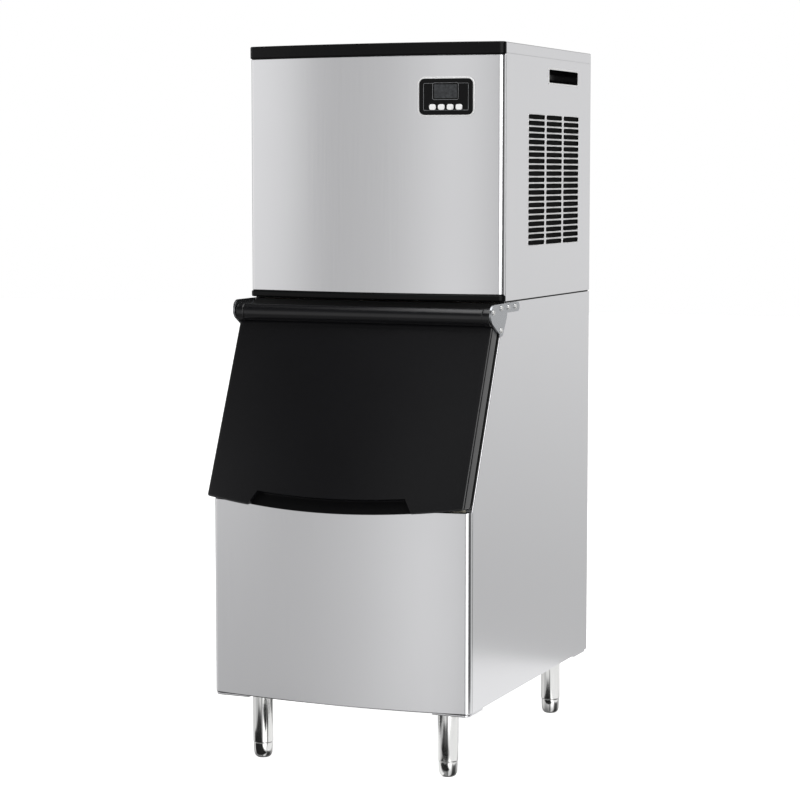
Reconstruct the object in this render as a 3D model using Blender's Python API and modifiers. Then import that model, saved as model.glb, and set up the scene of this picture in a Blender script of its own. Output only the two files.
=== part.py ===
"""Cube ice maker: a refrigeration head standing on a slant-front ice bin with a flip-up door.

Metres, +Z up. X is the width, the front faces -Y, and the feet stand on Z = 0.
Depths are distances from the plane of the back panels, so a larger depth is nearer the front.
"""
import math

import bmesh
import bpy
from mathutils import Matrix, Vector

# Sheet metal and fits
cabinet_width = 0.560
skin = 0.0015
fold_width = 0.014
fit_gap = 0.0003
seam_gap = 0.0012
corner_radius = 0.012
corner_run = 0.0035

# Head
head_depth = 0.546
head_bow = 0.026
head_height = 0.5153
cover_height = 0.022
top_trim_height = 0.025
bottom_trim_height = 0.0125
trim_stand = 0.002

# Bin
leg_height = 0.1445
bin_depth = 0.723
bin_bow = 0.023
bin_height = 0.7995
shoulder_height = 0.400
insulation_wall = 0.036
liner_wall = 0.003
seal_thickness = 0.0024
seal_width = 0.022
seal_inset = 0.003

# Vents and side handles
vent_rows = 21
vent_columns = 3
vent_pitch = 0.01288
vent_slot_height = 0.0092
vent_slot_length = 0.098
vent_column_pitch = 0.1083
vent_depth = 0.2403
vent_below_top = 0.1447
handle_length = 0.186
handle_height = 0.028
handle_depth = 0.1835
handle_below_top = 0.0584
handle_recess = 0.030
handle_wall = 0.002

# Control panel
panel_width = 0.111
panel_height = 0.072
panel_corner = 0.011
panel_thickness = 0.004
panel_across = 0.165
panel_below_top = 0.1083
neck_margin = 0.009
neck_depth = 0.010
window_width = 0.0536
window_height = 0.034
window_thickness = 0.002
window_rise = 0.0108
window_across = -0.0007
button_count = 4
button_width = 0.0140
button_height = 0.0120
button_corner = 0.004
button_pitch = 0.0182
button_drop = 0.0205
button_proud = 0.0016
button_travel = 0.0012
board_thickness = 0.0016

# Door, its tube and its hinge
axis_out = 0.0541
axis_down = 0.0524
tube_radius = 0.017
cap_radius = 0.018
cap_length = 0.0165
rod_radius = 0.005
rod_clearance = 0.0004
door_end_gap = 0.0010
door_offset = 0.045
door_thickness = 0.032
door_bow = 0.027
door_top = -0.010
door_below_shoulder = 0.0105
door_drop = 0.032
door_clear = 0.008
door_edge_radius = 0.005
door_wall = 0.004
door_side_wall = 0.008
core_top = 0.025
core_above_shoulder = 0.0445
recess_top_half = 0.160
recess_bottom_half = 0.186
recess_height = 0.034
recess_depth = 0.014
frame_thickness = 0.005
opening_half = 0.222
opening_top = 0.022
opening_above_shoulder = 0.0345
frame_corner = 0.012
gasket_lip = 0.006
gasket_width = 0.014
plate_thickness = 0.004
plate_radius = 0.0205
plate_tip_radius = 0.0095
plate_tip_back = 0.0415
plate_tip_drop = 0.0345
plate_back = 0.0705
strap_height = 0.019
strap_rise = 0.016
strap_length = 0.142
screw_radius = 0.0050
screw_head = 0.0024
bolt_radius = 0.0080

# Legs and feet
leg_radius = 0.0205
leg_flange_radius = 0.030
leg_flange_thickness = 0.004
leg_inset_across = 0.074
leg_inset_front = 0.075
leg_inset_back = 0.032
foot_height = 0.032
foot_radius = 0.0195
foot_pad_radius = 0.013
stem_radius = 0.006
stem_length = 0.040
stem_clearance = 0.0005

# Works inside the head
base_lip = 0.016
drop_half = 0.190
drop_back_depth = 0.428
drop_front_depth = 0.480
partition_depth = 0.384
partition_thickness = 0.002
evaporator_width = 0.360
evaporator_height = 0.300
evaporator_thickness = 0.024
evaporator_bottom = 0.105
cell_columns = 8
cell_rows = 6
cell_wall = 0.003
cell_depth = 0.018
ear_thickness = 0.004
ear_height = 0.030
pivot_radius = 0.003
pivot_reach = 0.014
curtain_thickness = 0.002
curtain_height = 0.315
curtain_side_gap = 0.0012
distributor_radius = 0.010
spray_slots = 5
trough_depth = 0.036
trough_height = 0.050
trough_wall = 0.002
trough_below = 0.012
pump_radius = 0.017
pump_height = 0.110
compressor_radius = 0.075
compressor_height = 0.185
compressor_across = -0.110
compressor_depth = 0.190
compressor_foot = 0.170
compressor_foot_thickness = 0.004
condenser_thickness = 0.044
condenser_length = 0.276
condenser_height = 0.300
condenser_fins = 20
condenser_fin_depth = 0.014
condenser_side_gap = 0.010
condenser_end_gap = 0.0037
shroud_thickness = 0.003
fan_radius = 0.112
fan_blades = 5
fan_tip_gap = 0.006
fan_hub_radius = 0.026
fan_hub_length = 0.022
blade_pitch_deg = 28.0
blade_root_chord = 0.030
blade_chord_growth = 0.018
blade_thickness = 0.003
shaft_radius = 0.004
motor_radius = 0.040
motor_length = 0.062
motor_arm = 0.012
inlet_radius = 0.011
inlet_reach = 0.014
inlet_bore = 0.007
inlet_flange = 0.004
service_inset = 0.130
gland_inset = 0.070
service_height = 0.060
pipe_radius = 0.005
pipe_drop = 0.012

# Resolution of round work
round_steps = 20
bow_steps = 14
corner_steps = 4

# Places that follow from the sizes above
half = cabinet_width / 2
bin_bottom = leg_height
bin_top = bin_bottom + bin_height
shoulder = bin_bottom + shoulder_height
seal_top = bin_top + fit_gap + seal_thickness
head_bottom = seal_top + fit_gap
head_top = head_bottom + head_height
head_side_front = head_depth - corner_radius - corner_run - seam_gap
bin_side_front = bin_depth - corner_radius - corner_run - seam_gap
inlet_across = half - service_inset
drain_across = -inlet_across
gland_across = half - gland_inset
slope_run = bin_side_front - head_side_front
slope_rise = bin_top - shoulder
slope_angle = math.atan2(slope_run, slope_rise)
along_depth = math.sin(slope_angle)
along_height = -math.cos(slope_angle)
out_depth = math.cos(slope_angle)
out_height = math.sin(slope_angle)
axis_depth = head_side_front + axis_out * out_depth + axis_down * along_depth
axis_height = bin_top + axis_out * out_height + axis_down * along_height
strap_end_depth = axis_depth - strap_length
slope_out = -axis_out
slope_top = -axis_down
slope_shoulder = math.hypot(slope_run, slope_rise) - axis_down
door_bottom = slope_shoulder + door_below_shoulder
core_bottom = slope_shoulder - core_above_shoulder
opening_bottom = slope_shoulder - opening_above_shoulder
door_front = slope_out + door_offset
door_back = door_front - door_thickness
door_half = half + fit_gap - door_end_gap
door_back_bottom = (axis_height + door_back * out_height - shoulder - door_clear) / -along_height
lip_down = door_bottom + door_drop - recess_height
lip_out = door_front + door_bow * (lip_down - door_top) / (lip_down + recess_height - door_top)
door_reach = axis_depth + lip_down * along_depth + lip_out * out_depth
total_depth = door_reach + inlet_reach
back_y = total_depth / 2 - inlet_reach
floor_top = head_bottom + skin


def at(depth):
    """Y of a depth measured from the plane of the back panels."""
    return back_y - depth


# Frame of the sloped door: local X across, local Y outwards, local Z down the slope
hinge_point = Vector((0.0, at(axis_depth), axis_height))
slope_frame = Matrix.Translation(hinge_point) @ Matrix((
    (1.0, 0.0, 0.0, 0.0),
    (0.0, -out_depth, -along_depth, 0.0),
    (0.0, out_height, along_height, 0.0),
    (0.0, 0.0, 0.0, 1.0),
))


def start_scene():
    """Empty the scene and make one collection for the parts and one for the cutters."""
    for item in list(bpy.data.objects):
        bpy.data.objects.remove(item, do_unlink=True)
    made = []
    for name in ("cube_ice_maker", "cutters"):
        collection = bpy.data.collections.new(name)
        bpy.context.scene.collection.children.link(collection)
        made.append(collection)
    return made


parts, cutters = start_scene()


def material(name, colour, roughness, metallic=0.0):
    made = bpy.data.materials.new(name)
    made.use_nodes = True
    shader = made.node_tree.nodes["Principled BSDF"]
    shader.inputs["Base Color"].default_value = (*colour, 1.0)
    shader.inputs["Roughness"].default_value = roughness
    shader.inputs["Metallic"].default_value = metallic
    made.diffuse_color = (*colour, 1.0)
    return made


brushed_steel = material("brushed_steel", (0.62, 0.62, 0.62), 0.38, 1.0)
polished_steel = material("polished_steel", (0.75, 0.75, 0.75), 0.15, 1.0)
zinc_sheet = material("zinc_sheet", (0.55, 0.56, 0.58), 0.45, 1.0)
gloss_black = material("gloss_black_plastic", (0.010, 0.010, 0.012), 0.22)
matte_black = material("matte_black_plastic", (0.015, 0.015, 0.015), 0.55)
dark_window = material("dark_window", (0.030, 0.032, 0.035), 0.10)
silver_button = material("silver_button", (0.80, 0.80, 0.78), 0.30)
white_liner = material("white_liner_plastic", (0.78, 0.78, 0.76), 0.35)
foam = material("insulation_foam", (0.70, 0.62, 0.40), 0.90)
black_rubber = material("black_rubber", (0.012, 0.012, 0.012), 0.70)
clear_plastic = material("grey_plastic", (0.55, 0.57, 0.58), 0.30)
copper = material("copper", (0.72, 0.35, 0.20), 0.30, 1.0)
black_enamel = material("black_enamel", (0.012, 0.012, 0.014), 0.35)
circuit_green = material("circuit_board", (0.02, 0.12, 0.05), 0.50)


def mesh_object(name, mesh, finish=None, frame=None):
    """Turn a bmesh into an object: a part when it has a finish, a hidden cutter when not."""
    data = bpy.data.meshes.new(name)
    bmesh.ops.recalc_face_normals(mesh, faces=mesh.faces)
    mesh.to_mesh(data)
    mesh.free()
    made = bpy.data.objects.new(name, data)
    if finish is None:
        made.hide_render = True
        made.display_type = "WIRE"
        cutters.objects.link(made)
    else:
        data.materials.append(finish)
        parts.objects.link(made)
    if frame is not None:
        made.matrix_world = frame
    return made


def own_origin(made, point):
    """Move an object's origin to a point without moving its shape."""
    made.data.transform(Matrix.Translation(-Vector(point)))
    made.location = point


def modify(made, other, operation):
    change = made.modifiers.new(operation.title() + " " + other.name, "BOOLEAN")
    change.operation = operation
    change.solver = "EXACT"
    change.object = other


def cut(made, *others):
    for other in others:
        modify(made, other, "DIFFERENCE")


def join(made, *others):
    for other in others:
        modify(made, other, "UNION")


def soften(made, width, segments=2, angle_deg=40.0):
    """Round the sharp edges."""
    bevel = made.modifiers.new("Rounded edges", "BEVEL")
    bevel.width = width
    bevel.segments = segments
    bevel.limit_method = "ANGLE"
    bevel.angle_limit = math.radians(angle_deg)


def smooth(made, angle_deg=35.0):
    made.data.shade_smooth()
    made.data.set_sharp_from_angle(angle=math.radians(angle_deg))


def box(name, low, high, finish=None, frame=None):
    mesh = bmesh.new()
    size = Vector(high) - Vector(low)
    centre = (Vector(high) + Vector(low)) / 2
    placed = Matrix.Translation(centre) @ Matrix.Diagonal((*size, 1.0))
    bmesh.ops.create_cube(mesh, size=1.0, matrix=placed)
    return mesh_object(name, mesh, finish, frame)


axis_turns = {
    "X": Matrix.Rotation(math.radians(90), 4, "Y"),
    "Y": Matrix.Rotation(math.radians(-90), 4, "X"),
    "Z": Matrix.Identity(4),
}


def cylinder(name, centre, radius, low, high, axis, finish=None, frame=None, steps=round_steps):
    """A cylinder along an axis, from low to high on it, through the centre's other two places."""
    mesh = bmesh.new()
    middle = Vector(centre)
    middle["XYZ".index(axis)] = (low + high) / 2
    placed = Matrix.Translation(middle) @ axis_turns[axis]
    bmesh.ops.create_cone(
        mesh, cap_ends=True, segments=steps, radius1=radius, radius2=radius, depth=high - low,
        matrix=placed,
    )
    made = mesh_object(name, mesh, finish, frame)
    smooth(made)
    return made


def prism(name, outline, low, high, axis, finish=None, frame=None):
    """A flat outline extruded along an axis. The outline's places are on the other two axes."""
    mesh = bmesh.new()
    order = {"X": (2, 0, 1), "Y": (0, 2, 1), "Z": (0, 1, 2)}[axis]
    corners = []
    for first, second in outline:
        place = (first, second, low)
        corners.append(mesh.verts.new([place[index] for index in order]))
    face = mesh.faces.new(corners)
    pushed = bmesh.ops.extrude_face_region(mesh, geom=[face])
    moved = [item for item in pushed["geom"] if isinstance(item, bmesh.types.BMVert)]
    step = Vector((0.0, 0.0, 0.0))
    step["XYZ".index(axis)] = high - low
    bmesh.ops.translate(mesh, vec=step, verts=moved)
    return mesh_object(name, mesh, finish, frame)


def turned(name, profile, centre, finish, steps=round_steps):
    """A profile of (radius, height) points, outer side first from the top, turned about Z."""
    data = bpy.data.meshes.new(name)
    points = [(radius, 0.0, height) for radius, height in profile]
    edges = [(index, index + 1) for index in range(len(points) - 1)]
    data.from_pydata(points, edges, [])
    data.materials.append(finish)
    made = bpy.data.objects.new(name, data)
    parts.objects.link(made)
    made.location = centre
    screw = made.modifiers.new("Turned", "SCREW")
    screw.steps = steps
    screw.render_steps = steps
    screw.use_merge_vertices = True
    screw.merge_threshold = 0.0001
    screw.use_smooth_shade = True
    return made


def tube(name, points, radius, finish, sides=2):
    """A round pipe along a smooth run of points."""
    curve = bpy.data.curves.new(name, "CURVE")
    curve.dimensions = "3D"
    curve.bevel_depth = radius
    curve.bevel_resolution = sides
    curve.use_fill_caps = True
    run = curve.splines.new("POLY")
    run.points.add(len(points) - 1)
    for spot, place in zip(run.points, points):
        spot.co = (*place, 1.0)
    curve.materials.append(finish)
    made = bpy.data.objects.new(name, curve)
    parts.objects.link(made)
    return made


def arc(centre, radius, start_deg, end_deg, steps):
    points = []
    for index in range(steps + 1):
        turn = math.radians(start_deg + (end_deg - start_deg) * index / steps)
        points.append((centre[0] + radius * math.cos(turn), centre[1] + radius * math.sin(turn)))
    return points


def rounded_rectangle(centre, width, height, radius, steps=corner_steps):
    across, up = width / 2 - radius, height / 2 - radius
    outline = []
    for sign_x, sign_y, start in ((1, 1, 0), (-1, 1, 90), (-1, -1, 180), (1, -1, 270)):
        corner = (centre[0] + sign_x * across, centre[1] + sign_y * up)
        outline += arc(corner, radius, start, start + 90, steps)
    return outline


def inset(outline, distance):
    """A convex outline, counter-clockwise, with every side moved inwards."""
    moved = []
    count = len(outline)
    for index in range(count):
        before, here, after = (Vector(outline[(index + step) % count]) for step in (-1, 0, 1))
        first, second = (here - before).normalized(), (after - here).normalized()
        bisector = Vector((-first.y - second.y, first.x + second.x))
        moved.append(tuple(here + bisector * distance / (1 + first.dot(second))))
    return moved


def bowed_front(depth, bow, grow=0.0):
    """Top view of a bowed front with rounded corners, left to right, grown outwards."""
    radius = corner_radius + grow
    centre_x = half - corner_radius
    centre_y = at(depth) + corner_radius
    turn = 2 * math.atan2(bow, centre_x)
    long_radius = centre_x / math.sin(turn)
    long_y = centre_y - bow + long_radius
    turn_deg = math.degrees(turn)
    left = arc((-centre_x, centre_y), radius, 180, 270 - turn_deg, corner_steps)
    right = arc((centre_x, centre_y), radius, 270 + turn_deg, 360, corner_steps)
    front = arc((0.0, long_y), long_radius + radius, 270 - turn_deg, 270 + turn_deg, bow_steps)
    return left + front[1:-1] + right


def front_outline(depth, bow, grow, back_depth, tongue_depth):
    """Bowed front closed by a straight back, with a tongue between the side panels' folds."""
    edge = half + grow
    tongue = half - fold_width - fit_gap
    return bowed_front(depth, bow, grow) + [
        (edge, at(back_depth)),
        (tongue, at(back_depth)),
        (tongue, at(tongue_depth)),
        (-tongue, at(tongue_depth)),
        (-tongue, at(back_depth)),
        (-edge, at(back_depth)),
    ]


def bowed_pan(name, depth, bow, low, high, finish):
    """A folded front panel: bowed skin, round corners, and folds at the top and bottom."""
    back_depth = depth - corner_radius - corner_run
    side_front = back_depth - seam_gap
    outer = front_outline(depth, bow, 0.0, back_depth, side_front + fit_gap)
    made = prism(name, outer, low, high, "Z", finish)
    inner = bowed_front(depth, bow, -skin)
    inner += [(half - skin, at(side_front - skin)), (-half + skin, at(side_front - skin))]
    cut(made, prism(name + "_hollow", inner, low + skin, high - skin, "Z"))
    smooth(made)
    return made


def side_pan(name, side, profile):
    """A folded side panel: a flat skin with a fold along every edge."""
    inner, outer = half - fold_width, half
    made = prism(name, profile, side * inner, side * outer, "X", brushed_steel)
    hollow = prism(
        name + "_hollow", inset(profile, skin), side * (inner - skin), side * (outer - skin), "X",
    )
    cut(made, hollow)
    return made


def bowed_block(name, top_half, bottom_half, section, finish=None, frame=None, split=True):
    """A block lofted across the door. section(share) gives its four corners at a share of -1 to 1.

    Split faces keep a hollow and the core inside it on the same twisted surface.
    """
    mesh = bmesh.new()
    rings = []
    for index in range(bow_steps + 1):
        share = 2 * index / bow_steps - 1
        top_back, top_front, bottom_front, bottom_back = section(share)
        ring = []
        for (out, down), reach in (
            (top_back, top_half), (top_front, top_half),
            (bottom_front, bottom_half), (bottom_back, bottom_half),
        ):
            ring.append(mesh.verts.new((share * reach, out, down)))
        rings.append(ring)
    for near, far in zip(rings, rings[1:]):
        for index in range(4):
            after = (index + 1) % 4
            if split:
                mesh.faces.new((near[index], near[after], far[after]))
                mesh.faces.new((near[index], far[after], far[index]))
            else:
                mesh.faces.new((near[index], near[after], far[after], far[index]))
    mesh.faces.new(rings[0])
    mesh.faces.new(rings[-1])
    return mesh_object(name, mesh, finish, frame)


def profile_to_world(profile):
    return [(at(depth), height) for depth, height in profile]


def bin_profile():
    """Side view of the bin as (depth, height), counter-clockwise once depth is turned into Y."""
    return [
        (bin_side_front, bin_bottom),
        (0.0, bin_bottom),
        (0.0, bin_top),
        (head_side_front, bin_top),
        (bin_side_front, shoulder),
    ]


def cavity_profile(wall, top):
    """The bin's hollow with an open top, as a world side view."""
    front_low, back_low, back_top, front_top, front_shoulder = inset(
        profile_to_world(bin_profile()), wall,
    )
    return [
        front_low, back_low, (back_top[0], top), (front_top[0], top), front_top, front_shoulder,
    ]


def slope_box(name, across, down, out, finish=None, corner=0.0):
    """A box in the door's frame, with rounded corners seen from the front."""
    if not corner:
        return box(
            name, (across[0], out[0], down[0]), (across[1], out[1], down[1]), finish, slope_frame,
        )
    centre = ((across[0] + across[1]) / 2, (down[0] + down[1]) / 2)
    outline = rounded_rectangle(centre, across[1] - across[0], down[1] - down[0], corner)
    return prism(name, outline, out[0], out[1], "Y", finish, slope_frame)


def opening_cutter(name, deep):
    """The sloped opening behind the door, cut from in front of the bin to a depth behind it."""
    return slope_box(
        name, (-opening_half, opening_half), (opening_top, opening_bottom),
        (slope_out - deep, slope_out + 2 * frame_thickness), corner=frame_corner,
    )


def build_bin_panels():
    profile = profile_to_world(bin_profile())
    for name, side in (("bin_left_side", -1), ("bin_right_side", 1)):
        side_pan(name, side, profile)
    bowed_pan("bin_front_panel", bin_depth, bin_bow, bin_bottom, shoulder, brushed_steel)
    across = half - fold_width - fit_gap
    box(
        "bin_back_panel",
        (-across, at(skin), bin_bottom + skin + fit_gap),
        (across, at(0.0), bin_top),
        zinc_sheet,
    )
    box(
        "bin_bottom_panel",
        (-across, at(bin_side_front), bin_bottom),
        (across, at(0.0), bin_bottom + skin),
        zinc_sheet,
    )


def build_bin_inside():
    clear = skin + fit_gap
    outline = inset(profile_to_world(bin_profile()), clear)
    reach = half - clear
    block = prism("bin_insulation", outline, -reach, reach, "X", foam)
    wide = half - insulation_wall
    above = bin_top + insulation_wall
    hollow = prism(
        "insulation_hollow", cavity_profile(insulation_wall, above), -wide, wide, "X",
    )
    cut(block, hollow, opening_cutter("insulation_opening", 2 * insulation_wall))
    outer = cavity_profile(insulation_wall + fit_gap, bin_top - clear)
    outer_reach = wide - fit_gap
    liner = prism("bin_liner", outer, -outer_reach, outer_reach, "X", white_liner)
    inner = cavity_profile(insulation_wall + fit_gap + liner_wall, above)
    inner_reach = outer_reach - liner_wall
    cut(
        liner,
        prism("liner_hollow", inner, -inner_reach, inner_reach, "X"),
        opening_cutter("liner_opening", 2 * insulation_wall),
    )
    drain = bin_drain_place()
    for piece in (block, liner):
        cut(piece, drain_hole(piece.name + "_drain_hole", drain))
    cut(bpy.data.objects["bin_back_panel"], drain_hole("back_panel_drain_hole", drain))


def bin_drain_place():
    return (drain_across, bin_bottom + insulation_wall + liner_wall + inlet_radius + 2 * fit_gap)


def drain_hole(name, place):
    return cylinder(
        name, (place[0], 0.0, place[1]), inlet_bore + stem_clearance + skin,
        at(2 * insulation_wall), at(-inlet_reach), "Y",
    )


def build_bin_drain():
    """A drain spigot through the back wall, with its flange against the liner."""
    across, height = bin_drain_place()
    tip = at(-inlet_reach)
    inside = at(insulation_wall + liner_wall + 2 * fit_gap)
    made = cylinder(
        "bin_drain", (across, 0.0, height), inlet_bore + skin, inside - inlet_flange, tip, "Y",
        matte_black,
    )
    flange = cylinder(
        "drain_flange", (across, 0.0, height), inlet_radius, inside - inlet_flange, inside, "Y",
    )
    bore = cylinder(
        "drain_bore", (across, 0.0, height), inlet_bore, inside - 2 * inlet_flange,
        tip + inlet_flange, "Y",
    )
    join(made, flange)
    cut(made, bore)


def build_door_frame():
    low, high = slope_out + fit_gap, slope_out + frame_thickness
    top = slope_top + corner_run
    bottom = slope_shoulder - corner_run
    reach = half - seam_gap
    ring = slope_box(
        "bin_door_frame", (-reach, reach), (top, bottom), (low, high), matte_black, frame_corner,
    )
    cut(ring, opening_cutter("frame_opening", frame_thickness))


def door_front_at(share, down):
    """How far out the door's front face lies at a share of its half width and a place down it."""
    spread = 1 - share * share
    bottom = door_bottom + door_drop * spread
    return door_front + door_bow * spread * (down - door_top) / (bottom - door_top)


def door_section(share):
    spread = 1 - share * share
    return (
        (door_back, door_top),
        (door_front, door_top),
        (door_front + door_bow * spread, door_bottom + door_drop * spread),
        (door_back, door_back_bottom),
    )


def core_section_with(gap):
    """Section of the hollow behind the door's skin, or of the core with its gap."""
    def section(share):
        real_share = share * (door_half - door_side_wall) / door_half
        back = door_back - (0.0 if gap else door_wall)
        front_top = door_front_at(real_share, core_top) - door_wall - gap
        front_bottom = door_front_at(real_share, core_bottom) - door_wall - gap
        return (
            (back, core_top + gap),
            (front_top, core_top + gap),
            (front_bottom, core_bottom - gap),
            (back, core_bottom - gap),
        )
    return section


def recess_section(share):
    """Section of the finger recess along the door's lower edge."""
    top_share = share * recess_top_half / door_half
    low_share = share * recess_bottom_half / door_half
    top = door_bottom + door_drop * (1 - top_share * top_share) - recess_height
    low = door_bottom + door_drop * (1 - low_share * low_share) + recess_depth
    return (
        (door_front_at(top_share, top) - recess_depth, top),
        (door_front_at(top_share, top) + recess_height, top),
        (door_front_at(low_share, low) + recess_height, low),
        (door_front_at(low_share, low) - recess_depth, low),
    )


def build_door():
    parent = bpy.data.objects.new("door_axis", None)
    parent.location = hinge_point
    parts.objects.link(parent)
    shell = bowed_block(
        "door_shell", door_half, door_half, door_section, gloss_black, slope_frame, split=False,
    )
    soften(shell, door_edge_radius)
    smooth(shell)
    tube_half = door_half - cap_length - fit_gap
    zero = (0.0, 0.0, 0.0)
    bead_half = tube_half + cap_length / 2
    bead = cylinder("door_bead", zero, tube_radius, -bead_half, bead_half, "X", frame=slope_frame)
    join(shell, bead)
    hollow_half = door_half - door_side_wall
    cut(shell, bowed_block(
        "door_hollow", hollow_half, hollow_half, core_section_with(0.0), frame=slope_frame,
    ))
    bore = rod_radius + rod_clearance
    cut(shell, cylinder("door_bore", zero, bore, -half, half, "X", frame=slope_frame))
    cut(shell, bowed_block(
        "door_recess", recess_top_half, recess_bottom_half, recess_section, frame=slope_frame,
    ))
    for name, side in (("door_left_cap", -1), ("door_right_cap", 1)):
        ends = sorted((side * (tube_half + fit_gap), side * door_half))
        room = sorted((side * tube_half, side * (door_half + cap_length)))
        cut(shell, cylinder(
            name + "_room", zero, cap_radius + fit_gap, room[0], room[1], "X", frame=slope_frame,
        ))
        cap = cylinder(name, zero, cap_radius, ends[0], ends[1], "X", gloss_black, slope_frame)
        soften(cap, rod_clearance * 4, 1)
        cut(cap, cylinder(name + "_bore", zero, bore, room[0], room[1], "X", frame=slope_frame))
    core_half = hollow_half - fit_gap
    bowed_block(
        "door_inner_panel", core_half, core_half, core_section_with(fit_gap), white_liner,
        slope_frame,
    )
    build_door_gasket()
    for name in ("door_shell", "door_left_cap", "door_right_cap", "door_inner_panel", "door_gasket"):
        child = bpy.data.objects[name]
        child.parent = parent
        child.matrix_parent_inverse = Matrix.Translation(-hinge_point)


def build_door_gasket():
    inner = (opening_half + gasket_lip, opening_top - gasket_lip, opening_bottom + gasket_lip)
    outer = (inner[0] + gasket_width, inner[1] - gasket_width, inner[2] + gasket_width)
    low, high = slope_out + frame_thickness + fit_gap, door_back - fit_gap
    ring = slope_box(
        "door_gasket", (-outer[0], outer[0]), (outer[1], outer[2]), (low, high), black_rubber,
        frame_corner + gasket_width,
    )
    cut(ring, slope_box(
        "gasket_hole", (-inner[0], inner[0]), (inner[1], inner[2]),
        (low - gasket_width, high + gasket_width), corner=frame_corner,
    ))


def plate_outline():
    """Hinge plate seen from the side: a round ear on the axis, a lower tip and a rear strap."""
    ear = (at(axis_depth), axis_height)
    tip = (at(axis_depth - plate_tip_back), axis_height - plate_tip_drop)
    strap_y = at(strap_end_depth) - strap_height / 2
    strap = (strap_y, axis_height + strap_rise)
    lean = Vector(tip) - Vector(ear)
    turn = math.degrees(math.atan2(lean.y, lean.x))
    spread = math.degrees(math.acos((plate_radius - plate_tip_radius) / lean.length))
    points = arc(ear, plate_radius, 90, 360 + turn - spread, 8)
    points += arc(tip, plate_tip_radius, turn - spread, 0, 4)
    points.append((at(axis_depth - plate_back), strap[1] - strap_height / 2))
    points += arc(strap, strap_height / 2, -90, 90, 6)
    points.append((tip[0], strap[1] + strap_height / 2))
    return points


def screw_places():
    """Screws of a hinge plate as (depth, height, radius)."""
    tip = (axis_depth - plate_tip_back, axis_height - plate_tip_drop)
    line = axis_height + strap_rise
    strap_front = head_side_front - screw_radius
    return [
        (axis_depth, axis_height, bolt_radius),
        (tip[0], tip[1], screw_radius),
        (tip[0], line, screw_radius),
        (strap_front, line, screw_radius),
        (strap_end_depth + strap_height / 2, line, screw_radius),
    ]


def build_hinge():
    reach = half - fit_gap
    rod = cylinder(
        "hinge_rod", (0.0, at(axis_depth), axis_height), rod_radius, -reach, reach, "X",
        polished_steel,
    )
    own_origin(rod, hinge_point)
    inner = half + fit_gap
    outer = inner + plate_thickness
    for name, side in (("left_hinge_plate", -1), ("right_hinge_plate", 1)):
        plate = prism(name, plate_outline(), side * inner, side * outer, "X", polished_steel)
        for index, (depth, height, radius) in enumerate(screw_places()):
            ends = sorted((side * (outer - skin), side * (outer + screw_head)))
            join(plate, cylinder(
                f"{name}_screw_{index + 1}", (0.0, at(depth), height), radius, ends[0], ends[1],
                "X", steps=12,
            ))


def head_profile():
    top = head_top - cover_height - fit_gap
    return [
        (at(head_side_front), head_bottom),
        (at(0.0), head_bottom),
        (at(0.0), top),
        (at(head_side_front), top),
    ]


def stadium_cutters(name, side):
    """All the vent slots of one side panel, as one set of round-ended prisms."""
    mesh = bmesh.new()
    radius = vent_slot_height / 2
    slot_fit = 1 / math.cos(math.radians(30))
    straight = vent_slot_length / 2 - radius * slot_fit
    first = head_top - vent_below_top
    turn = axis_turns["X"] @ Matrix.Rotation(math.radians(90), 4, "Z")
    for column in range(vent_columns):
        depth = vent_depth + (column - (vent_columns - 1) / 2) * vent_column_pitch
        for row in range(vent_rows):
            centre = Vector((side * half, at(depth), first - row * vent_pitch))
            made = bmesh.ops.create_cone(
                mesh, cap_ends=True, segments=6, radius1=radius * slot_fit, radius2=radius * slot_fit,
                depth=fold_width, matrix=Matrix.Translation(centre) @ turn,
            )
            for vertex in made["verts"]:
                vertex.co.y += math.copysign(straight, vertex.co.y - centre.y)
    return mesh_object(name, mesh)


def handle_place():
    return at(handle_depth), head_top - handle_below_top


def build_head_sides():
    for name, side in (("head_left_side", -1), ("head_right_side", 1)):
        panel = side_pan(name, side, head_profile())
        cut(panel, stadium_cutters(name + "_slots", side))
        outline = rounded_rectangle(handle_place(), handle_length, handle_height, handle_wall, 2)
        ends = sorted((side * (half - fold_width), side * (half + fold_width)))
        cut(panel, prism(name + "_handle_hole", outline, ends[0], ends[1], "X"))
    for name, side in (("left_handle_cup", -1), ("right_handle_cup", 1)):
        build_handle_cup(name, side)


def build_handle_cup(name, side):
    place = handle_place()
    length, height = handle_length - 2 * fit_gap, handle_height - 2 * fit_gap
    outer = rounded_rectangle(place, length, height, handle_wall, 2)
    inner = rounded_rectangle(
        place, length - 2 * handle_wall, height - 2 * handle_wall, handle_wall, 2,
    )
    ends = sorted((side * (half - handle_recess - handle_wall), side * half))
    cup = prism(name, outer, ends[0], ends[1], "X", gloss_black)
    mouth = sorted((side * (half - handle_recess), side * (half + handle_wall)))
    cut(cup, prism(name + "_hollow", inner, mouth[0], mouth[1], "X"))


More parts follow.
